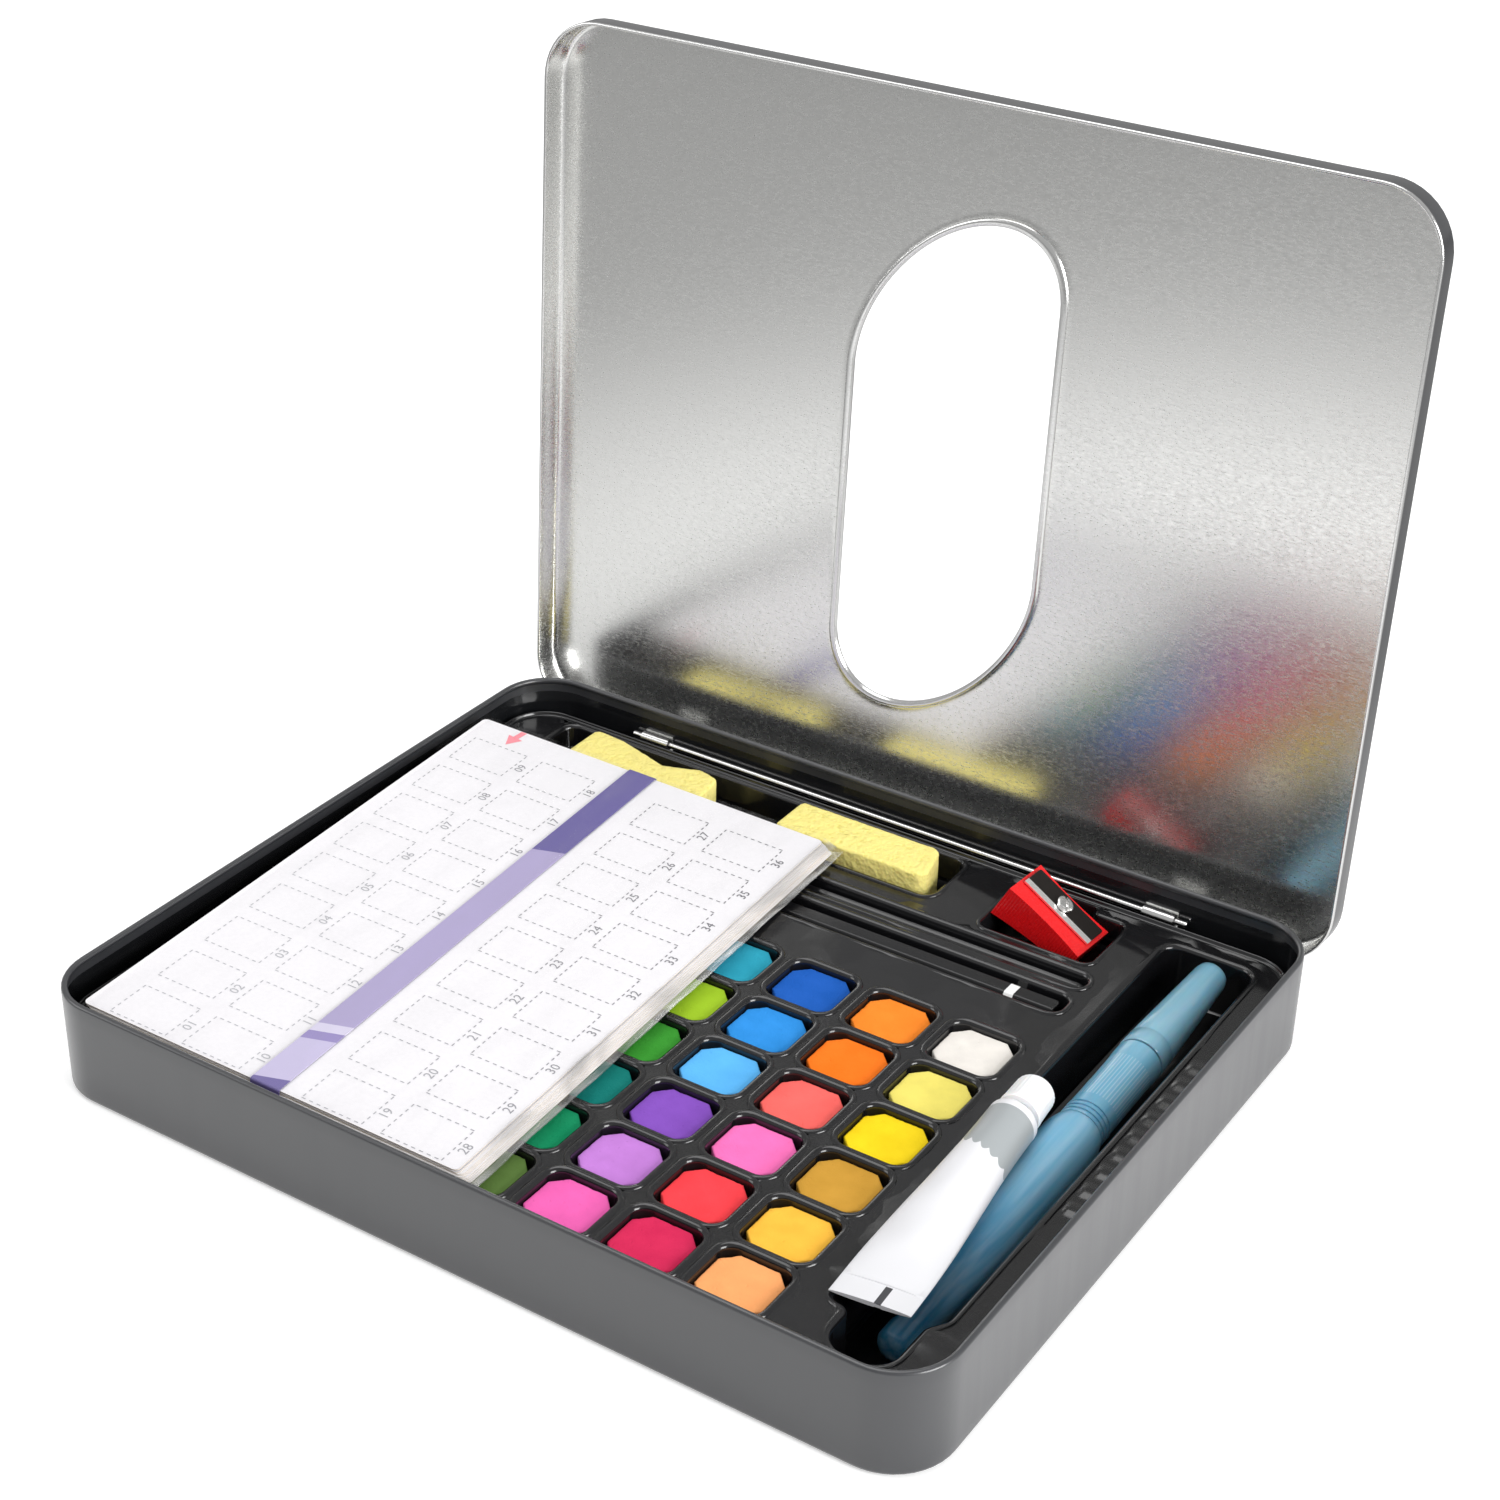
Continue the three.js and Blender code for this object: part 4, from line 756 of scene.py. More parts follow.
sponge_block("foam_left", "sponge_left", "sponge_a",
             [(-95, 75.4), (-49, 75.4), (-50.5, 86.5), (-57.5, 88.2), (-66.5, 83.8),
              (-85, 89.2), (-95, 90)], [1.5, 1.5, 2.5, 3, 3, 3, 2], 5)
sponge_block("foam_right", "sponge_right", "sponge_b",
             [(-24.6, 75.4), (23.1, 75.4), (19.7, 90), (-24.6, 90)], [1.5, 3, 3, 1.5], 6)

# Practice cards
# A pack of thin white watercolour cards. The top one has dashed boxes to fill in, each with
# its plain number. A paper band runs round the pack, and all is in a clear film sleeve.
CARD_WIDTH = 112.4
CARD_LENGTH = 165
CARD_CORNER = 1.5
CARD_PLACE = (-60.8, -11.1, 20.75)
CARD_TURN = (0.6, 1.85, 2.0)
STACK_LOW = 1.05
STACK_THICKNESS = 1.9
TOP_CARD_LOW = 3.25
TOP_CARD_TOP = 3.6
turn_x, turn_y, turn_z = [Matrix.Rotation(math.radians(angle), 3, axis)
                          for angle, axis in zip(CARD_TURN, "XYZ")]
card_turn = np.array(turn_z @ turn_y @ turn_x)


def pack_place(points):
    """Points of the card pack laid down in the tin: turned about x, y and z, then moved."""
    return np.asarray(points, float).reshape(-1, 3) @ card_turn.T + CARD_PLACE


def paper_material(name, hex_colour, roughness):
    """Uncoated card: a fine fibre grain in tone and bump."""
    material, place = new_material(name)
    fibres, shade = noise_range(material, place, 0, 1, 900.0, (0.3, 0.7), more={"Detail": 6.0})
    return finish_material(material, {"Roughness": roughness},
                           (shade, linear(hex_colour, 0.96), hex_colour), (fibres, 0.12, 0.0001))


white_card = paper_material("white_watercolour_card", "#eae8ea", 0.75)
card_edge = paper_material("cut_card_edge", "#e8dccb", 0.85)


def card_sheets(name, node, count, low, high, spread, seed):
    """Flat cards one above the other, each a thin slab. The lower a card is, the further it
    has slid to the right, by up to the spread, with a small random slip and turn."""
    slips = np.random.default_rng(seed)
    loose = min(1, count - 1)
    points, faces, indices = [], [], []
    pitch = (high - low) / count
    for k in range(count):
        slip = np.array([spread * (1 - k / count), 0]) + slips.uniform(-0.25, 0.25, 2) * loose
        spin = math.radians(slips.uniform(-0.15, 0.15)) * loose
        path, normals = rounded_path(centred(CARD_WIDTH, CARD_LENGTH), CARD_CORNER, 20)
        path = path @ np.array(Matrix.Rotation(spin, 2)).T + slip
        bottom = low + pitch * k
        start = sum(len(p) for p in points)
        points.append(swept(path, normals, [(0, bottom), (0, bottom + pitch * 0.9)]).reshape(-1, 3))
        faces += [[start + i for i in face] for face in capped_faces(2, len(path))]
        indices += [1] * len(path) + [0, 0]
    make_piece(name, pack_place(np.concatenate(points)), faces, [white_card, card_edge],
               "card_pack", [node], indices, 30)


card_sheets("cards", "card_stack", 8, STACK_LOW, STACK_LOW + STACK_THICKNESS, 3.4, 11)
card_sheets("card_on_top", "top_card", 1, TOP_CARD_LOW, TOP_CARD_TOP, 0, 1)

# The print on the top card: dashed boxes in four columns that lean a little, a number beside
# each, and a red arrow at the back left. Ink is drawn as a very thin film on the card.
BOX_ROWS = 9
BOX_DEPTH = 12.6
BOX_PITCH = 17.64
BOX_LOWEST = -81.5
FRONT_SIDES = ((-48.3, -30.9), (-25.7, -8.1), (10.8, 28.3), (33.8, 51.1))
BACK_SIDES = ((-52.0, -34.2), (-29.0, -11.2), (8.6, 26.1), (31.7, 49.4))
DASH = 1.1
DASH_PITCH = 2.2
DASH_WIDTH = 0.3
NUMBER_SIZE = 3.7
NUMBER_GAP = 2.3
INK_LIFT = 0.03
ARROW = ((-43.2, 82.3), (-43.6, 78.7), (-45.2, 78.9), (-43.0, 74.0), (-40.2, 78.3),
         (-41.8, 78.5), (-41.4, 82.3))


def dashed_line(start, stop):
    """The corners of a line's dashes: bars one dash long at each dash pitch from start to
    stop, with half a dash width to either side."""
    start, stop = np.array(start, float), np.array(stop, float)
    length = np.linalg.norm(stop - start)
    along = (stop - start) / length
    across = np.array([-along[1], along[0]]) * DASH_WIDTH / 2
    low = start + np.arange(0, length - DASH / 2, DASH_PITCH)[:, None] * along
    high = low + DASH * along
    return np.stack([low - across, high - across, high + across, low + across], 1)


def vertex_places(mesh):
    """The places of a mesh's vertices in its own units."""
    places = np.zeros(len(mesh.vertices) * 3)
    mesh.vertices.foreach_get("co", places)
    return places.reshape(-1, 3)


bars, ink_points, ink_faces = [], [], []
start = 0
for column in range(4):
    for row in range(BOX_ROWS):
        low_y = BOX_LOWEST + row * BOX_PITCH
        share = row / (BOX_ROWS - 1)
        left, right_side = (np.array(FRONT_SIDES[column]) * (1 - share)
                            + np.array(BACK_SIDES[column]) * share)
        corners = rectangle(left, low_y, right_side, low_y + BOX_DEPTH)
        bars += [dashed_line(a, b) for a, b in zip(corners, corners[1:] + corners[:1])]
        words = bpy.data.curves.new("number", "FONT")
        words.body = f"{column * BOX_ROWS + row + 1:02d}"
        words.size = NUMBER_SIZE
        words.align_x = words.align_y = "CENTER"
        words.resolution_u = 2
        holder = placed("number", words)
        bpy.context.view_layer.update()
        shape = bpy.data.meshes.new_from_object(
            holder.evaluated_get(bpy.context.evaluated_depsgraph_get()))
        glyphs = vertex_places(shape)
        ink_points.append(np.stack([-glyphs[:, 1] + right_side + NUMBER_GAP,
                                    glyphs[:, 0] + low_y + BOX_DEPTH / 2], 1))
        ink_faces += [[start + i for i in polygon.vertices] for polygon in shape.polygons]
        start += len(glyphs)
        bpy.data.objects.remove(holder)
        bpy.data.meshes.remove(shape)
        bpy.data.curves.remove(words)
bar_points = np.concatenate(bars).reshape(-1, 2)
ink_faces += (np.arange(len(bar_points)).reshape(-1, 4) + start).tolist()
grey_faces = len(ink_faces)
start += len(bar_points)
ink_faces += [[start + i for i in corners] for corners in ((0, 1, 5, 6), (2, 3, 4))]
ink_plan = np.concatenate(ink_points + [bar_points, np.array(ARROW)])
ink_places = np.column_stack([ink_plan, np.full(len(ink_plan), TOP_CARD_TOP + INK_LIFT)])

# Offset ink on card: a dull grey that turns paler towards the front left of the sheet, and a
# flat red, each a little broken in gloss or tone by the card's tooth.
printing_ink, place = new_material("grey_offset_ink")
slope = add_node(printing_ink, "VectorMath", {0: place, 1: (5.0, 4.0, 0.0)},
                 operation="DOT_PRODUCT")
share = add_node(printing_ink, "MapRange", {"Value": slope, "From Min": -0.6, "From Max": 0.1})
_, rough = noise_range(printing_ink, place, 0.5, 0.8, 1500.0)
finish_material(printing_ink, {"Roughness": rough}, (share, "#b4b4b8", "#6c6b70"))
red_ink, place = new_material("red_offset_ink")
speckle = add_node(red_ink, "TexNoise", {"Vector": place, "Scale": 1200.0})
finish_material(red_ink, {"Roughness": 0.6}, (speckle, "#f08591", "#f59ba5"))
make_piece("card_print", pack_place(ink_places), ink_faces, [printing_ink, red_ink],
           "card_pack", [], [0] * grey_faces + [1, 1], 30, merge=0.00001)

# The band: a strip of dark violet printed paper folded round the pack and stuck under it. It
# lies a little askew. Only its ends show the paper's own dark violet. Across its middle it is
# painted paler, in slanting bands, as painted reflection of the film's sheen.
BAND_BACK_X = -2.15
BAND_FRONT_X = 0.85
BAND_WIDTH = 8.6
BAND_PAPER = 0.2
BAND_OUT = 0.3
BAND_SLOPE = -0.35
BAND_TONES_AND_SHEEN = ((-84.0, "#6f659b"), (-80.5, "#c0b8d6"), (-63.0, "#9286b8"), (-59.5, "#cfc9de"),
              (-56.0, "#a79dc2"), (36.0, "#625a94"))
band_half = CARD_LENGTH / 2 + BAND_OUT
band_loop, band_out = rounded_path(
    rectangle(-band_half, STACK_LOW - 0.3, band_half, TOP_CARD_TOP + 0.28), 0.5, 3)
band_rows = []
for share, grow in ((-0.5, 0), (0.5, 0), (0.5, BAND_PAPER), (-0.5, BAND_PAPER)):
    ring = band_loop + band_out * grow
    lean = BAND_FRONT_X + (BAND_BACK_X - BAND_FRONT_X) * (ring[:, 0] / CARD_LENGTH + 0.5)
    band_rows.append(np.column_stack([lean + share * BAND_WIDTH, ring]))
band_points = np.concatenate(band_rows)

# Printed coated paper: dark violet, half glossy, with the paper's fine fibre in its gloss. The
# paler violet areas, which meet it along slanting lines, are painted reflection of the film's
# sheen.
band_paper, place = new_material("violet_paper_with_painted_sheen")
band_uv = add_node(band_paper, "UVMap", uv_map="pack")
split = add_node(band_paper, "SeparateXYZ", {"Vector": band_uv}).outputs
slant = add_node(band_paper, "Math", {0: split["X"], 1: BAND_SLOPE, 2: split["Y"]},
                 operation="MULTIPLY_ADD")
# The first and last tones are the paper's own dark violet. The paler tones between them are painted
# reflection.
tone = BAND_TONES_AND_SHEEN[0][1]
for low_y, hex_colour in BAND_TONES_AND_SHEEN[1:]:
    after = add_node(band_paper, "Math", {0: slant, 1: low_y}, operation="GREATER_THAN")
    tone = add_node(band_paper, "Mix", {0: after, 6: tone, 7: hex_colour}, data_type="RGBA")
_, rough = noise_range(band_paper, place, 0.35, 0.55, 900.0)
finish_material(band_paper, {"Base Color": tone, "Roughness": rough})
band_piece = make_piece("paper_band", pack_place(band_points),
                        grid_faces(4, len(band_loop), closed_rows=True), [band_paper],
                        "card_pack", ["card_band"], merge=0.00001)


def lay_uv(piece, layer, values):
    """Gives a piece a UV map from one pair of numbers per vertex."""
    corner = np.zeros(len(piece.data.loops), np.int32)
    piece.data.loops.foreach_get("vertex_index", corner)
    piece.data.uv_layers.new(name=layer).data.foreach_set("uv", values[corner].ravel())


lay_uv(band_piece, "pack", band_points[:, :2])

# The sleeve: thin clear polypropylene film, heat-sealed along one end, with a free flap on
# the right that catches the light in long wrinkles.
FILM_FLAP = 5.6
FILM_WRINKLE_MM = 9
FILM_ROOM = 0.8


def film_material(name, gloss_low, gloss_high):
    """Clear film: mostly see-through, with a share of gloss that follows its wrinkles."""
    material, place = new_material(name)
    waves, share = noise_range(
        material, place, gloss_low, gloss_high, ends=(0.42, 0.7),
        stretch=(1000 / FILM_WRINKLE_MM, 250 / FILM_WRINKLE_MM, 100.0), more={"Distortion": 1.5})
    bump = add_node(material, "Bump", {"Height": waves, "Strength": 0.12, "Distance": 0.002})
    gloss = add_node(material, "BsdfGlossy",
                     {"Color": (1, 1, 1, 1), "Roughness": 0.18, "Normal": bump})
    clear = add_node(material, "BsdfTransparent", {"Color": (0.985, 0.985, 0.99, 1)})
    film = add_node(material, "MixShader", {0: share, 1: clear, 2: gloss})
    return finish_material(material, film)


clear_film = film_material("clear_polypropylene_film", 0.01, 0.06)
flap_film = film_material("folded_film_flap", 0.12, 0.6)
card_side = CARD_WIDTH / 2
film_left = -card_side - 0.5
across = np.concatenate([np.linspace(film_left, card_side, 60),
                         np.linspace(card_side, card_side + FILM_FLAP, 14)[1:]])
along = np.linspace(-CARD_LENGTH / 2 - FILM_ROOM, CARD_LENGTH / 2 + FILM_ROOM, 90)
film_x, film_y = np.meshgrid(across, along, indexing="ij")
over_flap = np.clip((film_x - card_side) / FILM_FLAP, 0, 1)
over_left = np.clip((film_left + 3 - film_x) / 3, 0, 1)
ripple = 0.12 * np.sin(film_y * 0.21 + film_x * 0.03) * np.sin(film_y * 0.083 + 1.0)
film_top = (TOP_CARD_TOP + 0.62 + ripple * (0.4 + over_flap)) * (1 - over_flap) + (
    1.6 + 2.2 * ripple) * over_flap - over_left * 1.6
film_under = 0.35 * (1 - over_flap) + (1.45 + 2.2 * ripple) * over_flap + over_left * 1.4
film_points = np.concatenate([np.stack([film_x, film_y, height], 2).reshape(-1, 3)
                              for height in (film_top, film_under)])
count, rows, columns = film_x.size, *film_x.shape
film_faces = grid_faces(rows, columns, closed_columns=False)
left_edge = np.arange(columns - 1)
right_edge = left_edge + (rows - 1) * columns
front_edge = np.arange(rows - 1) * columns
# Each seam joins the film's two layers along one edge. The back end is left open.
film_faces = np.concatenate([film_faces, film_faces[:, ::-1] + count] + [
    np.stack([near, far, far + count, near + count], 1)
    for near, far in ((left_edge, left_edge + 1), (right_edge + 1, right_edge),
                      (front_edge + columns, front_edge))])
on_flap = film_points[film_faces, 0].mean(1) > card_side
make_piece("film_sleeve", pack_place(film_points), film_faces, [clear_film, flap_film],
           "card_pack", ["card_sleeve"], on_flap.astype(int).tolist(), 180,
           flip=True)

# Sharpener
# A wedge of glossy red plastic, injection-moulded, with pinched ribbed sides. Its steel blade
# is held by one bright screw. It leans in its well on its thin end.
SHARPENER_PLACE = (59.6, 82.2, 21.5)
SHARPENER_YAW = -4.6
SHARPENER_PITCH = 28.8
RIB_MM = 0.8
BLADE_LENGTH = 23
BLADE_FRONT = -2.2
BLADE_TOP = 0.9
GROUND_WIDTH = 1.75
SCREW_Y = 1.6
SCREW_RADIUS = 2.4
SCREW_LOW = 1.2
SCREW_HEIGHT = 1.5
SCREW_SLOT = 0.38
SCREW_SIDES = 96
sharpener_turn = np.array(Matrix.Rotation(math.radians(SHARPENER_YAW), 3, "Z")
                          @ Matrix.Rotation(math.radians(SHARPENER_PITCH), 3, "Y"))


def dressed_copy(name, node, materials, bevel_mm, segments=3):
    """A smooth copy of a CAD node's solid with its edges rounded."""
    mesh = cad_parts[node].data.copy()
    mesh.name = name
    mesh.materials.clear()
    for material in materials:
        mesh.materials.append(material)
    build = bmesh.new()
    build.from_mesh(mesh)
    bmesh.ops.remove_doubles(build, verts=build.verts, dist=2e-6)
    bmesh.ops.dissolve_limit(build, angle_limit=math.radians(2), verts=build.verts,
                             edges=build.edges)
    build.to_mesh(mesh)
    build.free()
    mesh.polygons.foreach_set("material_index", np.zeros(len(mesh.polygons), np.int32))
    piece = set_out(name, mesh, "sharpener", [node], 35)
    round_off = piece.modifiers.new("rounding", "BEVEL")
    round_off.width = bevel_mm * 0.001
    round_off.segments = segments
    round_off.limit_method = "ANGLE"
    round_off.angle_limit = math.radians(35)
    round_off.harden_normals = False
    return piece


def sharpener_place(points):
    """Points drawn on the level blade face, leaned and turned to where the sharpener stands."""
    return np.asarray(points, float) @ sharpener_turn.T + SHARPENER_PLACE


# Moulded red polystyrene: glossy and slightly translucent. Its pinched sides have fine upright
# ribs for the fingers, drawn at twice their real spacing of 0.4 mm so that they show.
def red_material(name, rib_mm):
    """Red plastic: clouded gloss, and where rib_mm isn't 0, a wave of that length along it."""
    material, place = new_material(name)
    height, rough = noise_range(material, place, 0.2, 0.34, 300.0, more={"Detail": 3.0})
    if rib_mm:
        level = add_node(material, "Mapping", {
            "Vector": place, "Rotation": (0.0, math.radians(-SHARPENER_PITCH), 0.0)})
        height = add_node(material, "TexWave", {
            "Vector": level, "Scale": 1000 * math.pi / 10 / rib_mm}).outputs["Fac"]
    return finish_material(
        material, {"Base Color": "#e2161b", "Roughness": rough, "IOR": 1.55,
                   "Subsurface Weight": 0.12, "Subsurface Scale": 0.002},
        dents=(height, 0.5 if rib_mm else 0.05, 0.0002))


wedge = dressed_copy("wedge", "sharpener_body",
                     [red_material("moulded_red_polystyrene", 0),
                      red_material("ribbed_red_polystyrene", RIB_MM)], 0.35)
wedge_normals = np.zeros(len(wedge.data.polygons) * 3)
wedge.data.polygons.foreach_get("normal", wedge_normals)
wedge_sides = np.abs(wedge_normals.reshape(-1, 3) @ sharpener_turn[:, 1]) > 0.7
wedge.data.polygons.foreach_set("material_index", wedge_sides.astype(np.int32))

# Hardened steel with a dark oxide on its flat, and a bright ground bevel along its cutting
# edge. A fine grinding noise spreads its gloss.
oxidised_steel, ground_steel = [
    plain_material(name, hex_colour, low, high, 1800.0, more={"Detail": 3.0}, Metallic=1.0)
    for name, hex_colour, low, high in (("oxidised_blade_steel", "#3f3b39", 0.35, 0.55),
                                        ("ground_blade_steel", "#fbfaf8", 0.3, 0.45))]
dressed_copy("blade", "sharpener_blade", [oxidised_steel], 0.06, 2)
bevel_front, bevel_back = BLADE_FRONT - 0.05, BLADE_FRONT + GROUND_WIDTH
bevel_profile = np.array([(bevel_front, 0.3), (bevel_back, 0.3), (bevel_back, BLADE_TOP + 0.07),
                          (bevel_front, BLADE_TOP)])
bevel_grid = np.stack([np.column_stack([np.full(4, side * BLADE_LENGTH / 2), bevel_profile])
                       for side in (-1, 1)])
make_piece("blade_bevel", sharpener_place(bevel_grid), capped_faces(2, 4),
           [ground_steel], "sharpener", [], None, 30, flip=True)

# The screw: a plated cheese-head screw whose driver slot is cut across the dome.
screw_angle = np.linspace(0, 2 * np.pi, SCREW_SIDES, endpoint=False)
screw_radii = np.concatenate([[0.02], np.linspace(0.2, 0.92, 16), [0.98, 1.0]]) * SCREW_RADIUS
head_r, head_a = np.meshgrid(screw_radii, screw_angle, indexing="ij")
head_x, head_y = head_r * np.cos(head_a), head_r * np.sin(head_a)
dome = SCREW_LOW + SCREW_HEIGHT - 0.3 - 0.35 * (head_r / SCREW_RADIUS) ** 4
slot_depth = 0.6 * np.clip((SCREW_SLOT - np.abs(head_x * 0.8 + head_y * 0.6)) / 0.08, 0, 1)
head_rows = np.stack([head_x, head_y + SCREW_Y, dome - slot_depth], 2)
skirt = head_rows[-1:].copy()
skirt[..., 2] = SCREW_LOW
make_piece("blade_screw", sharpener_place(np.concatenate([head_rows, skirt])),
           capped_faces(len(head_rows) + 1, SCREW_SIDES), [plated_wire], "sharpener",
           ["sharpener_screw"], None, 30, flip=True)

# Water brush
# A squeeze barrel blow-moulded in translucent blue polyethylene, with a ribbed grip screwed
# on and a clear blue cap pushed over the nylon bristles.
BRUSH_TAIL = (101, -72, 6.4)
BRUSH_TIP = (101.9, 87.9, 15.2)
GRIP_START = 86.1
BRISTLE_START = 128.1
CAP_START = 118.1
GRIP_RIBS = 44
RIB_SPAN = (94.0, 111.5)
# The colour of the pale streaks and lines of painted highlight on the brush.
HIGHLIGHT_STREAK_HEX = "#d5e9f2"


def turned_round(points):
    """For points about the y axis: U runs once round the axis and V is the distance along."""
    return np.stack([np.arctan2(points[:, 0], points[:, 2]) / (2 * np.pi) + 0.5, points[:, 1]], 1)


# Moulded polyethylene: the colour pales from the tail towards the grip, soft pale streaks of
# painted highlight run along it, and light gets a little way in.
def brush_plastic(name, tail_hex, head_hex, tail_y, head_y, roughness, clearness, ribs=0):
    """Translucent blue: two colours mixed along y, then streaked with painted highlight by a
    stretched noise. Where ribs isn't 0, that many pale lines of painted highlight, standing for
    the ribs' glints, run along it between the ends of RIB_SPAN."""
    material, place = new_material(name)
    _, shade = noise_range(material, place, 0.0, 0.22, ends=(0.35, 0.7),
                           stretch=(420.0, 14.0, 420.0))
    along = add_node(material, "SeparateXYZ", {"Vector": place}).outputs["Y"]
    share = add_node(material, "MapRange", {
        "Value": along, "From Min": tail_y * 0.001, "From Max": head_y * 0.001})
    tone = add_node(material, "Mix", {0: share, 6: tail_hex, 7: head_hex}, data_type="RGBA")
    # Painted highlight: pale streaks mixed in along the brush.
    tone = add_node(material, "Mix", {0: shade, 6: tone, 7: HIGHLIGHT_STREAK_HEX}, data_type="RGBA")
    # The grip's ribs are pale lines of painted highlight, not shape.
    if ribs:
        wrap = add_node(material, "UVMap", uv_map="wrap")
        split = add_node(material, "SeparateXYZ", {"Vector": wrap}).outputs
        angle = add_node(material, "Math", {0: split["X"], 1: 2 * math.pi * ribs},
                         operation="MULTIPLY")
        wave = add_node(material, "Math", {0: angle}, operation="SINE")
        line = add_node(material, "MapRange", {"Value": wave, "From Min": 0.2, "To Max": 0.38})
        inside = add_node(material, "Math", {0: split["Y"], 1: sum(RIB_SPAN) / 2,
                                             2: (RIB_SPAN[1] - RIB_SPAN[0]) / 2},
                          operation="COMPARE")
        ribbed = add_node(material, "Math", {0: line, 1: inside}, operation="MULTIPLY")
        tone = add_node(material, "Mix", {0: ribbed, 6: tone, 7: HIGHLIGHT_STREAK_HEX}, data_type="RGBA")
    return finish_material(material, {
        "Base Color": tone, "Roughness": roughness, "IOR": 1.5,
        "Transmission Weight": clearness, "Subsurface Weight": 0.35, "Subsurface Scale": 0.004})


barrel_blue = brush_plastic("blown_blue_polyethylene", "#2f7fa8", "#74b4d2", -60, 12, 0.15, 0.0)
grip_blue = brush_plastic("moulded_blue_grip", "#62aacb", "#79b8d3", 12, 50, 0.16, 0.12,
                          GRIP_RIBS)
cap_blue = brush_plastic("clear_blue_cap", "#8cc6dd", "#84bfd8", 45, 88, 0.14, 0.25)


def brush_piece(name, offset, profile, material, body, node, sides, sharp=40):
    """A turned piece of the brush, its profile measured from an offset along the axis."""
    return revolved_piece(name, [(offset + at, radius) for at, radius in profile], BRUSH_TAIL,
                          BRUSH_TIP, [material], body, [node], sides, sharp)


barrel_profile = [(0, 0), (0.05, 2.2), (0.6, 3.7), (1.6, 4.35), (3, 4.45), (6.4, 4.4),
                  (7.4, 4.1), (8, 3.95), (8.8, 4.0), (10, 4.4), (14, 5.0), (20, 5.75),
                  (28, 6.55), (36, 7.1), (46, 7.5), (56, 7.72), (66, 7.8), (76, 7.75),
                  (80, 7.55), (83, 7.1), (85, 6.6), (85.8, 6.2), (85.8, 0)]
brush_piece("squeeze_barrel", 0, barrel_profile, barrel_blue, "water_brush", "brush_barrel",
            64, 50)
grip_profile = [(0, 0), (0, 6.1)]
for at in (0.3, 1.8, 3.3):
    grip_profile += [(at, 6.25), (at + 0.4, 6.25), (at + 0.5, 5.85), (at + 1.1, 5.85),
                     (at + 1.2, 6.25)]
grip_profile += [(6, 6.15), (17, 6.05), (26, 6.05), (27, 6.2), (31.2, 6.2), (31.5, 6.0),
                 (31.5, 2.9), (41, 2.8), (41.2, 0)]
grip_piece = brush_piece("grip", GRIP_START, grip_profile, grip_blue, "water_brush",
                         "brush_grip", 96, 30)
brush_way = np.array(BRUSH_TIP, float) - BRUSH_TAIL
brush_way /= np.linalg.norm(brush_way)
grip_local = vertex_places(grip_piece.data) * 1000 - BRUSH_TAIL
grip_along = grip_local @ brush_way
grip_local -= np.outer(grip_along, brush_way)
grip_local[:, 1] = grip_along
lay_uv(grip_piece, "wrap", turned_round(grip_local))

# Nylon bristles: off-white hairs, drawn as fine ridges along the brush.
nylon, place = new_material("nylon_bristles")
hairs, _ = noise_range(nylon, place, 0, 1, stretch=(4000.0, 60.0, 4000.0))
finish_material(nylon, {"Base Color": "#eceae4", "Roughness": 0.5}, dents=(hairs, 0.6, 0.0002))
brush_piece("bristles", BRISTLE_START, [(0, 0), (0, 2.1), (6, 2.2), (12, 1.6), (17, 0.8),
                                        (20, 0)], nylon, "water_brush", "brush_bristles",
            24)
cap_profile = [(40, 0), (40, 3.3), (26, 4.2), (0, 5.35), (0, 6.15), (0.25, 6.3), (5.2, 6.2),
               (5.5, 5.95), (6.1, 5.95), (6.4, 6.1), (14, 5.75), (28, 5.05), (38.5, 4.5),
               (40.2, 4.2), (40.85, 3.6), (41, 0)]
brush_piece("brush_cover", CAP_START, cap_profile, cap_blue, "water_brush_cap", "brush_cap",
            64)

# Paint tube
# A soft aluminium tube, lacquered white, whose open end is pressed flat and folded over. A
# grey panel is printed round its shoulder end, and a ribbed white cap screws on the neck.
TUBE_TAIL = (96.6, -74.6, 19.4)
TUBE_SHOULDER = (92.35, 1.8, 21.7)
TUBE_ROLL = -4
TUBE_RADIUS = 6.3
TUBE_LENGTH = 70.5
TUBE_SIDES = 96
TAIL_HALF_WIDTH = 10
TAIL_HALF_THICKNESS = 0.6
TAIL_FOLD = 7
LABEL_START = 54.2
LABEL_END = 69.0
LABEL_SLANT = 2.0
LABEL_LOBES = 7
LOBE_DEPTH = 1.3
MARK_PLACE = (1.9, 2.9)
MARK_HALF = (0.85, 2.9)
CRIMP_LINES = (6.1, 7.0)
CAP_SIDES = 120
CAP_RIBS = 30

tube_start, tube_goal = np.array(TUBE_TAIL, float), np.array(TUBE_SHOULDER, float)
tube_turn = np.array(
    Vector((0, 1, 0)).rotation_difference(Vector(tube_goal - tube_start)).to_matrix()
    @ Matrix.Rotation(math.radians(TUBE_ROLL), 3, "Y"))


def tube_place(points):
    """Points of the tube, drawn along y from its tail, laid on the brush."""
    return np.asarray(points, float) @ tube_turn.T + tube_start


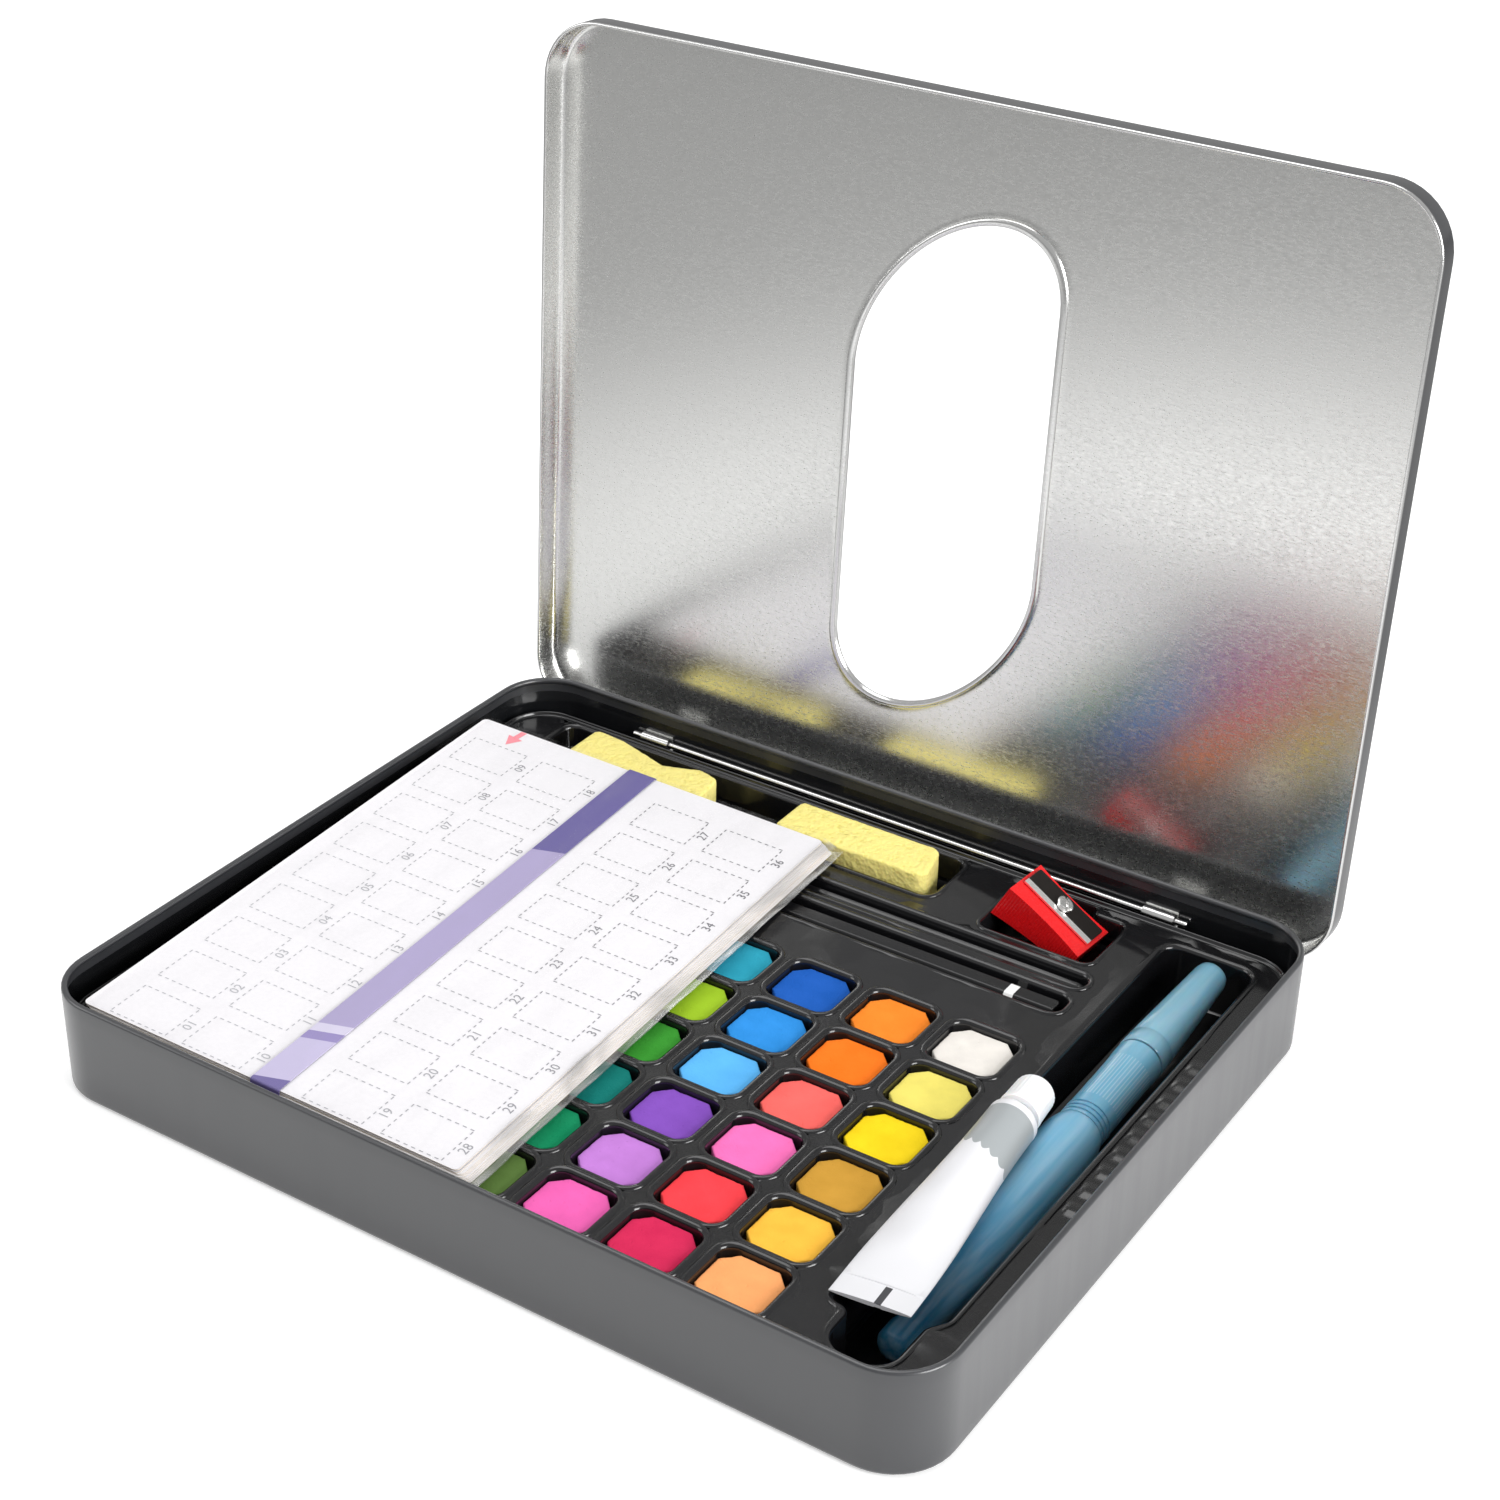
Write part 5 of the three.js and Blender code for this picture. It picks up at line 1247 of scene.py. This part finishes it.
# White lacquer on aluminium: smooth, half glossy. The printed panel starts at a wavy edge,
# and a small dark mark sits at the fold for the filling machine's eye.
tube_lacquer, place = new_material("white_lacquered_tube")
wrap = add_node(tube_lacquer, "UVMap", uv_map="wrap")
split = add_node(tube_lacquer, "SeparateXYZ", {"Vector": wrap}).outputs
turns = [add_node(tube_lacquer, "Math", {0: split["X"], 1: 2 * math.pi * count},
                  operation="MULTIPLY") for count in (1, LABEL_LOBES)]
lean, lobes = [add_node(tube_lacquer, "Math", {0: angle}, operation="SINE") for angle in turns]
slant = add_node(tube_lacquer, "Math", {0: lean, 1: LABEL_SLANT, 2: LABEL_START},
                 operation="MULTIPLY_ADD")
lobes = add_node(tube_lacquer, "Math", {0: lobes}, operation="ABSOLUTE")
edge = add_node(tube_lacquer, "Math", {0: lobes, 1: -LOBE_DEPTH, 2: slant},
                operation="MULTIPLY_ADD")
after = add_node(tube_lacquer, "Math", {0: split["Y"], 1: edge}, operation="GREATER_THAN")
before = add_node(tube_lacquer, "Math", {0: split["Y"], 1: LABEL_END}, operation="LESS_THAN")
panel = add_node(tube_lacquer, "Math", {0: after, 1: before}, operation="MULTIPLY")
tone = add_node(tube_lacquer, "Mix", {0: panel, 6: "#e3e3e6", 7: "#9ea3a5"}, data_type="RGBA")
level = add_node(tube_lacquer, "UVMap", uv_map="flat")
off = add_node(tube_lacquer, "VectorMath", {0: level, 1: (*MARK_PLACE, 0.0)},
               operation="SUBTRACT")
off = add_node(tube_lacquer, "VectorMath",
               {0: off, 1: (1 / MARK_HALF[0], 1 / MARK_HALF[1], 0.0)}, operation="MULTIPLY")
split = add_node(tube_lacquer, "SeparateXYZ", {"Vector": off}).outputs
inside = [add_node(tube_lacquer, "Math", {0: split[way], 1: 0.0, 2: 1.0}, operation="COMPARE")
          for way in "XY"]
mark = add_node(tube_lacquer, "Math", {0: inside[0], 1: inside[1]}, operation="MULTIPLY")
_, rough = noise_range(tube_lacquer, place, 0.28, 0.42, 120.0)
finish_material(tube_lacquer, {"Roughness": rough, "IOR": 1.5}, (mark, tone, "#3c3c40"))

around = np.linspace(0, 2 * np.pi, TUBE_SIDES, endpoint=False)[None]
body_length = TUBE_LENGTH - TAIL_FOLD
stations = np.concatenate([[0, 0.25, 1.5, 3, 4.5, 5.8, 6.1, 6.2, 6.6, 6.9, TAIL_FOLD],
                           TAIL_FOLD + body_length * np.linspace(0.03, 1, 40)])[:, None]
swell = np.clip((stations - TAIL_FOLD) / body_length, 0, 1)
roundness = np.sin(swell * np.pi / 2)
half_thick = TAIL_HALF_THICKNESS + (TUBE_RADIUS - TAIL_HALF_THICKNESS) * roundness
half_wide = TAIL_HALF_WIDTH + (TUBE_RADIUS - TAIL_HALF_WIDTH) * roundness ** 2
crimped = (stations > CRIMP_LINES[0]) & (stations < CRIMP_LINES[1])
dent = 0.25 * np.sin(stations * 0.35) * np.clip(swell * 6, 0, 1) * (1 - swell)
half_thick = half_thick + 0.22 * crimped + dent * np.cos(3 * around)
neck = np.array([(0.5, 6.25), (1.0, 5.9), (2.9, 3.9), (3, 3.6), (9.8, 3.6)])
neck_y, neck_r = neck[:, :1] + TUBE_LENGTH, neck[:, 1:]
tube_grid = np.concatenate([
    np.stack(np.broadcast_arrays(wide * np.sin(around), y, thick * np.cos(around)), 2)
    for wide, y, thick in ((half_wide, stations, half_thick), (neck_r, neck_y, neck_r))])
tube_piece = make_piece("tube_shell", tube_place(tube_grid),
                        capped_faces(len(tube_grid), TUBE_SIDES), [tube_lacquer], "tube",
                        ["tube_body"], None, 50, flip=True, merge=0.00001)
local = (vertex_places(tube_piece.data) * 1000 - tube_start) @ tube_turn
lay_uv(tube_piece, "wrap", turned_round(local))
lay_uv(tube_piece, "flat", local[:, :2])

# Moulded white cap: half glossy polypropylene that lets a little light in.
cap_white = plain_material("moulded_white_cap", "#f4f4f5", 0.3, 0.42, 500.0,
                           Subsurface_Weight=0.1, Subsurface_Scale=0.002)
cap_turn = np.linspace(0, 2 * np.pi, CAP_SIDES, endpoint=False)
cap_low = TUBE_LENGTH + 3.3
# Distance along the cap, radius, and how deep the ribs are cut there.
cap_rows = np.array([(7.3, 0, 0), (7.3, 3.8, 0), (0, 3.85, 0), (0, 5.3, 0), (0.3, 5.5, 0),
                     (1.4, 5.5, 0), (1.7, 5.42, 1), (9.0, 5.15, 1), (9.6, 5.0, 0.6),
                     (10.3, 4.5, 0), (10.6, 3.8, 0), (10.6, 0, 0)])[:, :, None]
cap_radius = cap_rows[:, 1] - cap_rows[:, 2] * 0.08 * (1 + np.cos(CAP_RIBS * cap_turn))
cap_grid = np.stack(np.broadcast_arrays(cap_radius * np.sin(cap_turn), cap_low + cap_rows[:, 0],
                                        cap_radius * np.cos(cap_turn)), 2)
make_piece("screw_cap", tube_place(cap_grid), grid_faces(len(cap_rows), CAP_SIDES), [cap_white],
           "tube_top", ["tube_cap"], None, 30, flip=True)

# Floor, light and background
# The photograph is a white-background packshot: a pale floor, a wide soft light from above
# and the left, and a weaker one from the right.
FLOOR_MIDDLE = (0.05, -0.12, 0.0)
WHITE = (1, 1, 1, 1)
floor_mesh = bpy.data.meshes.new("floor")
floor_mesh.from_pydata([(x, y, -0.0002) for x, y in centred(12, 12)], [], [(0, 1, 2, 3)])
floor = placed("floor", floor_mesh)

# Paper sweep: near the tin it is pale paper that keeps the shadow, and further off it glows up
# to the white of the backdrop. Gloss on the object mirrors it dimly, as a painted pool of
# light: for glossy rays it glows near the tin and fades further off. Its paper colour darkens
# further off as painted falloff of light.
floor_paper, place = new_material("white_paper_sweep")
reach = add_node(floor_paper, "VectorMath", {0: place, 1: FLOOR_MIDDLE}, operation="DISTANCE")
far = add_node(floor_paper, "MapRange", {"Value": reach, "From Min": 0.2, "From Max": 0.45})
# Painted falloff of light: the paper's colour darkens further off.
tone = add_node(floor_paper, "Mix", {0: far, 6: "#f0f0f0", 7: "#9e9e9e"}, data_type="RGBA")
# Painted pool of light: glossy rays see the floor glow most near the tin.
glow, pool_strength = [add_node(floor_paper, "MapRange", {"Value": far, "To Min": low, "To Max": high})
                for low, high in ((0.34, 0.95), (0.22, 0.03))]
seen = add_node(floor_paper, "LightPath").outputs
painted_pool_glow = add_node(floor_paper, "Math", {0: pool_strength, 1: seen["Is Glossy Ray"]},
                 operation="MULTIPLY")
glow, painted_pool_glow = [add_node(floor_paper, "Emission", {"Color": WHITE, "Strength": strength})
               for strength in (glow, painted_pool_glow)]
glow = add_node(floor_paper, "MixShader", {0: seen["Is Camera Ray"], 1: painted_pool_glow, 2: glow})
matt = add_node(floor_paper, "BsdfDiffuse", {"Color": tone})
finish_material(floor_paper, add_node(floor_paper, "AddShader", {0: matt, 1: glow}))
floor_mesh.materials.append(floor_paper)

world = bpy.data.worlds.new("studio")
bpy.context.scene.world = world
world.use_nodes = True
world.node_tree.nodes.clear()
seen = add_node(world, "LightPath").outputs["Is Camera Ray"]
ambient, backdrop = [add_node(world, "Background", {"Color": WHITE, "Strength": strength})
                     for strength in (0.5, 1.0)]
sky = add_node(world, "MixShader", {0: seen, 1: ambient, 2: backdrop})
add_node(world, "OutputWorld", {"Surface": sky})


def soft_light(name, place, aim, width, height, watts):
    """A rectangular area lamp at a place, facing a point."""
    lamp = bpy.data.lights.new(name, "AREA")
    lamp.shape = "RECTANGLE"
    lamp.size = width
    lamp.size_y = height
    lamp.energy = watts
    direction = Vector(aim) - Vector(place)
    placed(name, lamp).matrix_world = (Matrix.Translation(Vector(place))
                                       @ direction.to_track_quat("-Z", "Y").to_matrix().to_4x4())


soft_light("overhead", (-0.3, 0.1, 1.5), (0, 0, 0.05), 1.3, 1.0, 10.4)
soft_light("left_bank", (-1.4, -0.9, 0.9), (0, 0, 0.1), 0.9, 0.9, 6.5)
soft_light("right_bank", (1.5, -0.2, 0.6), (0, 0, 0.1), 0.9, 0.9, 27)

bpy.context.scene.view_settings.view_transform = "Standard"
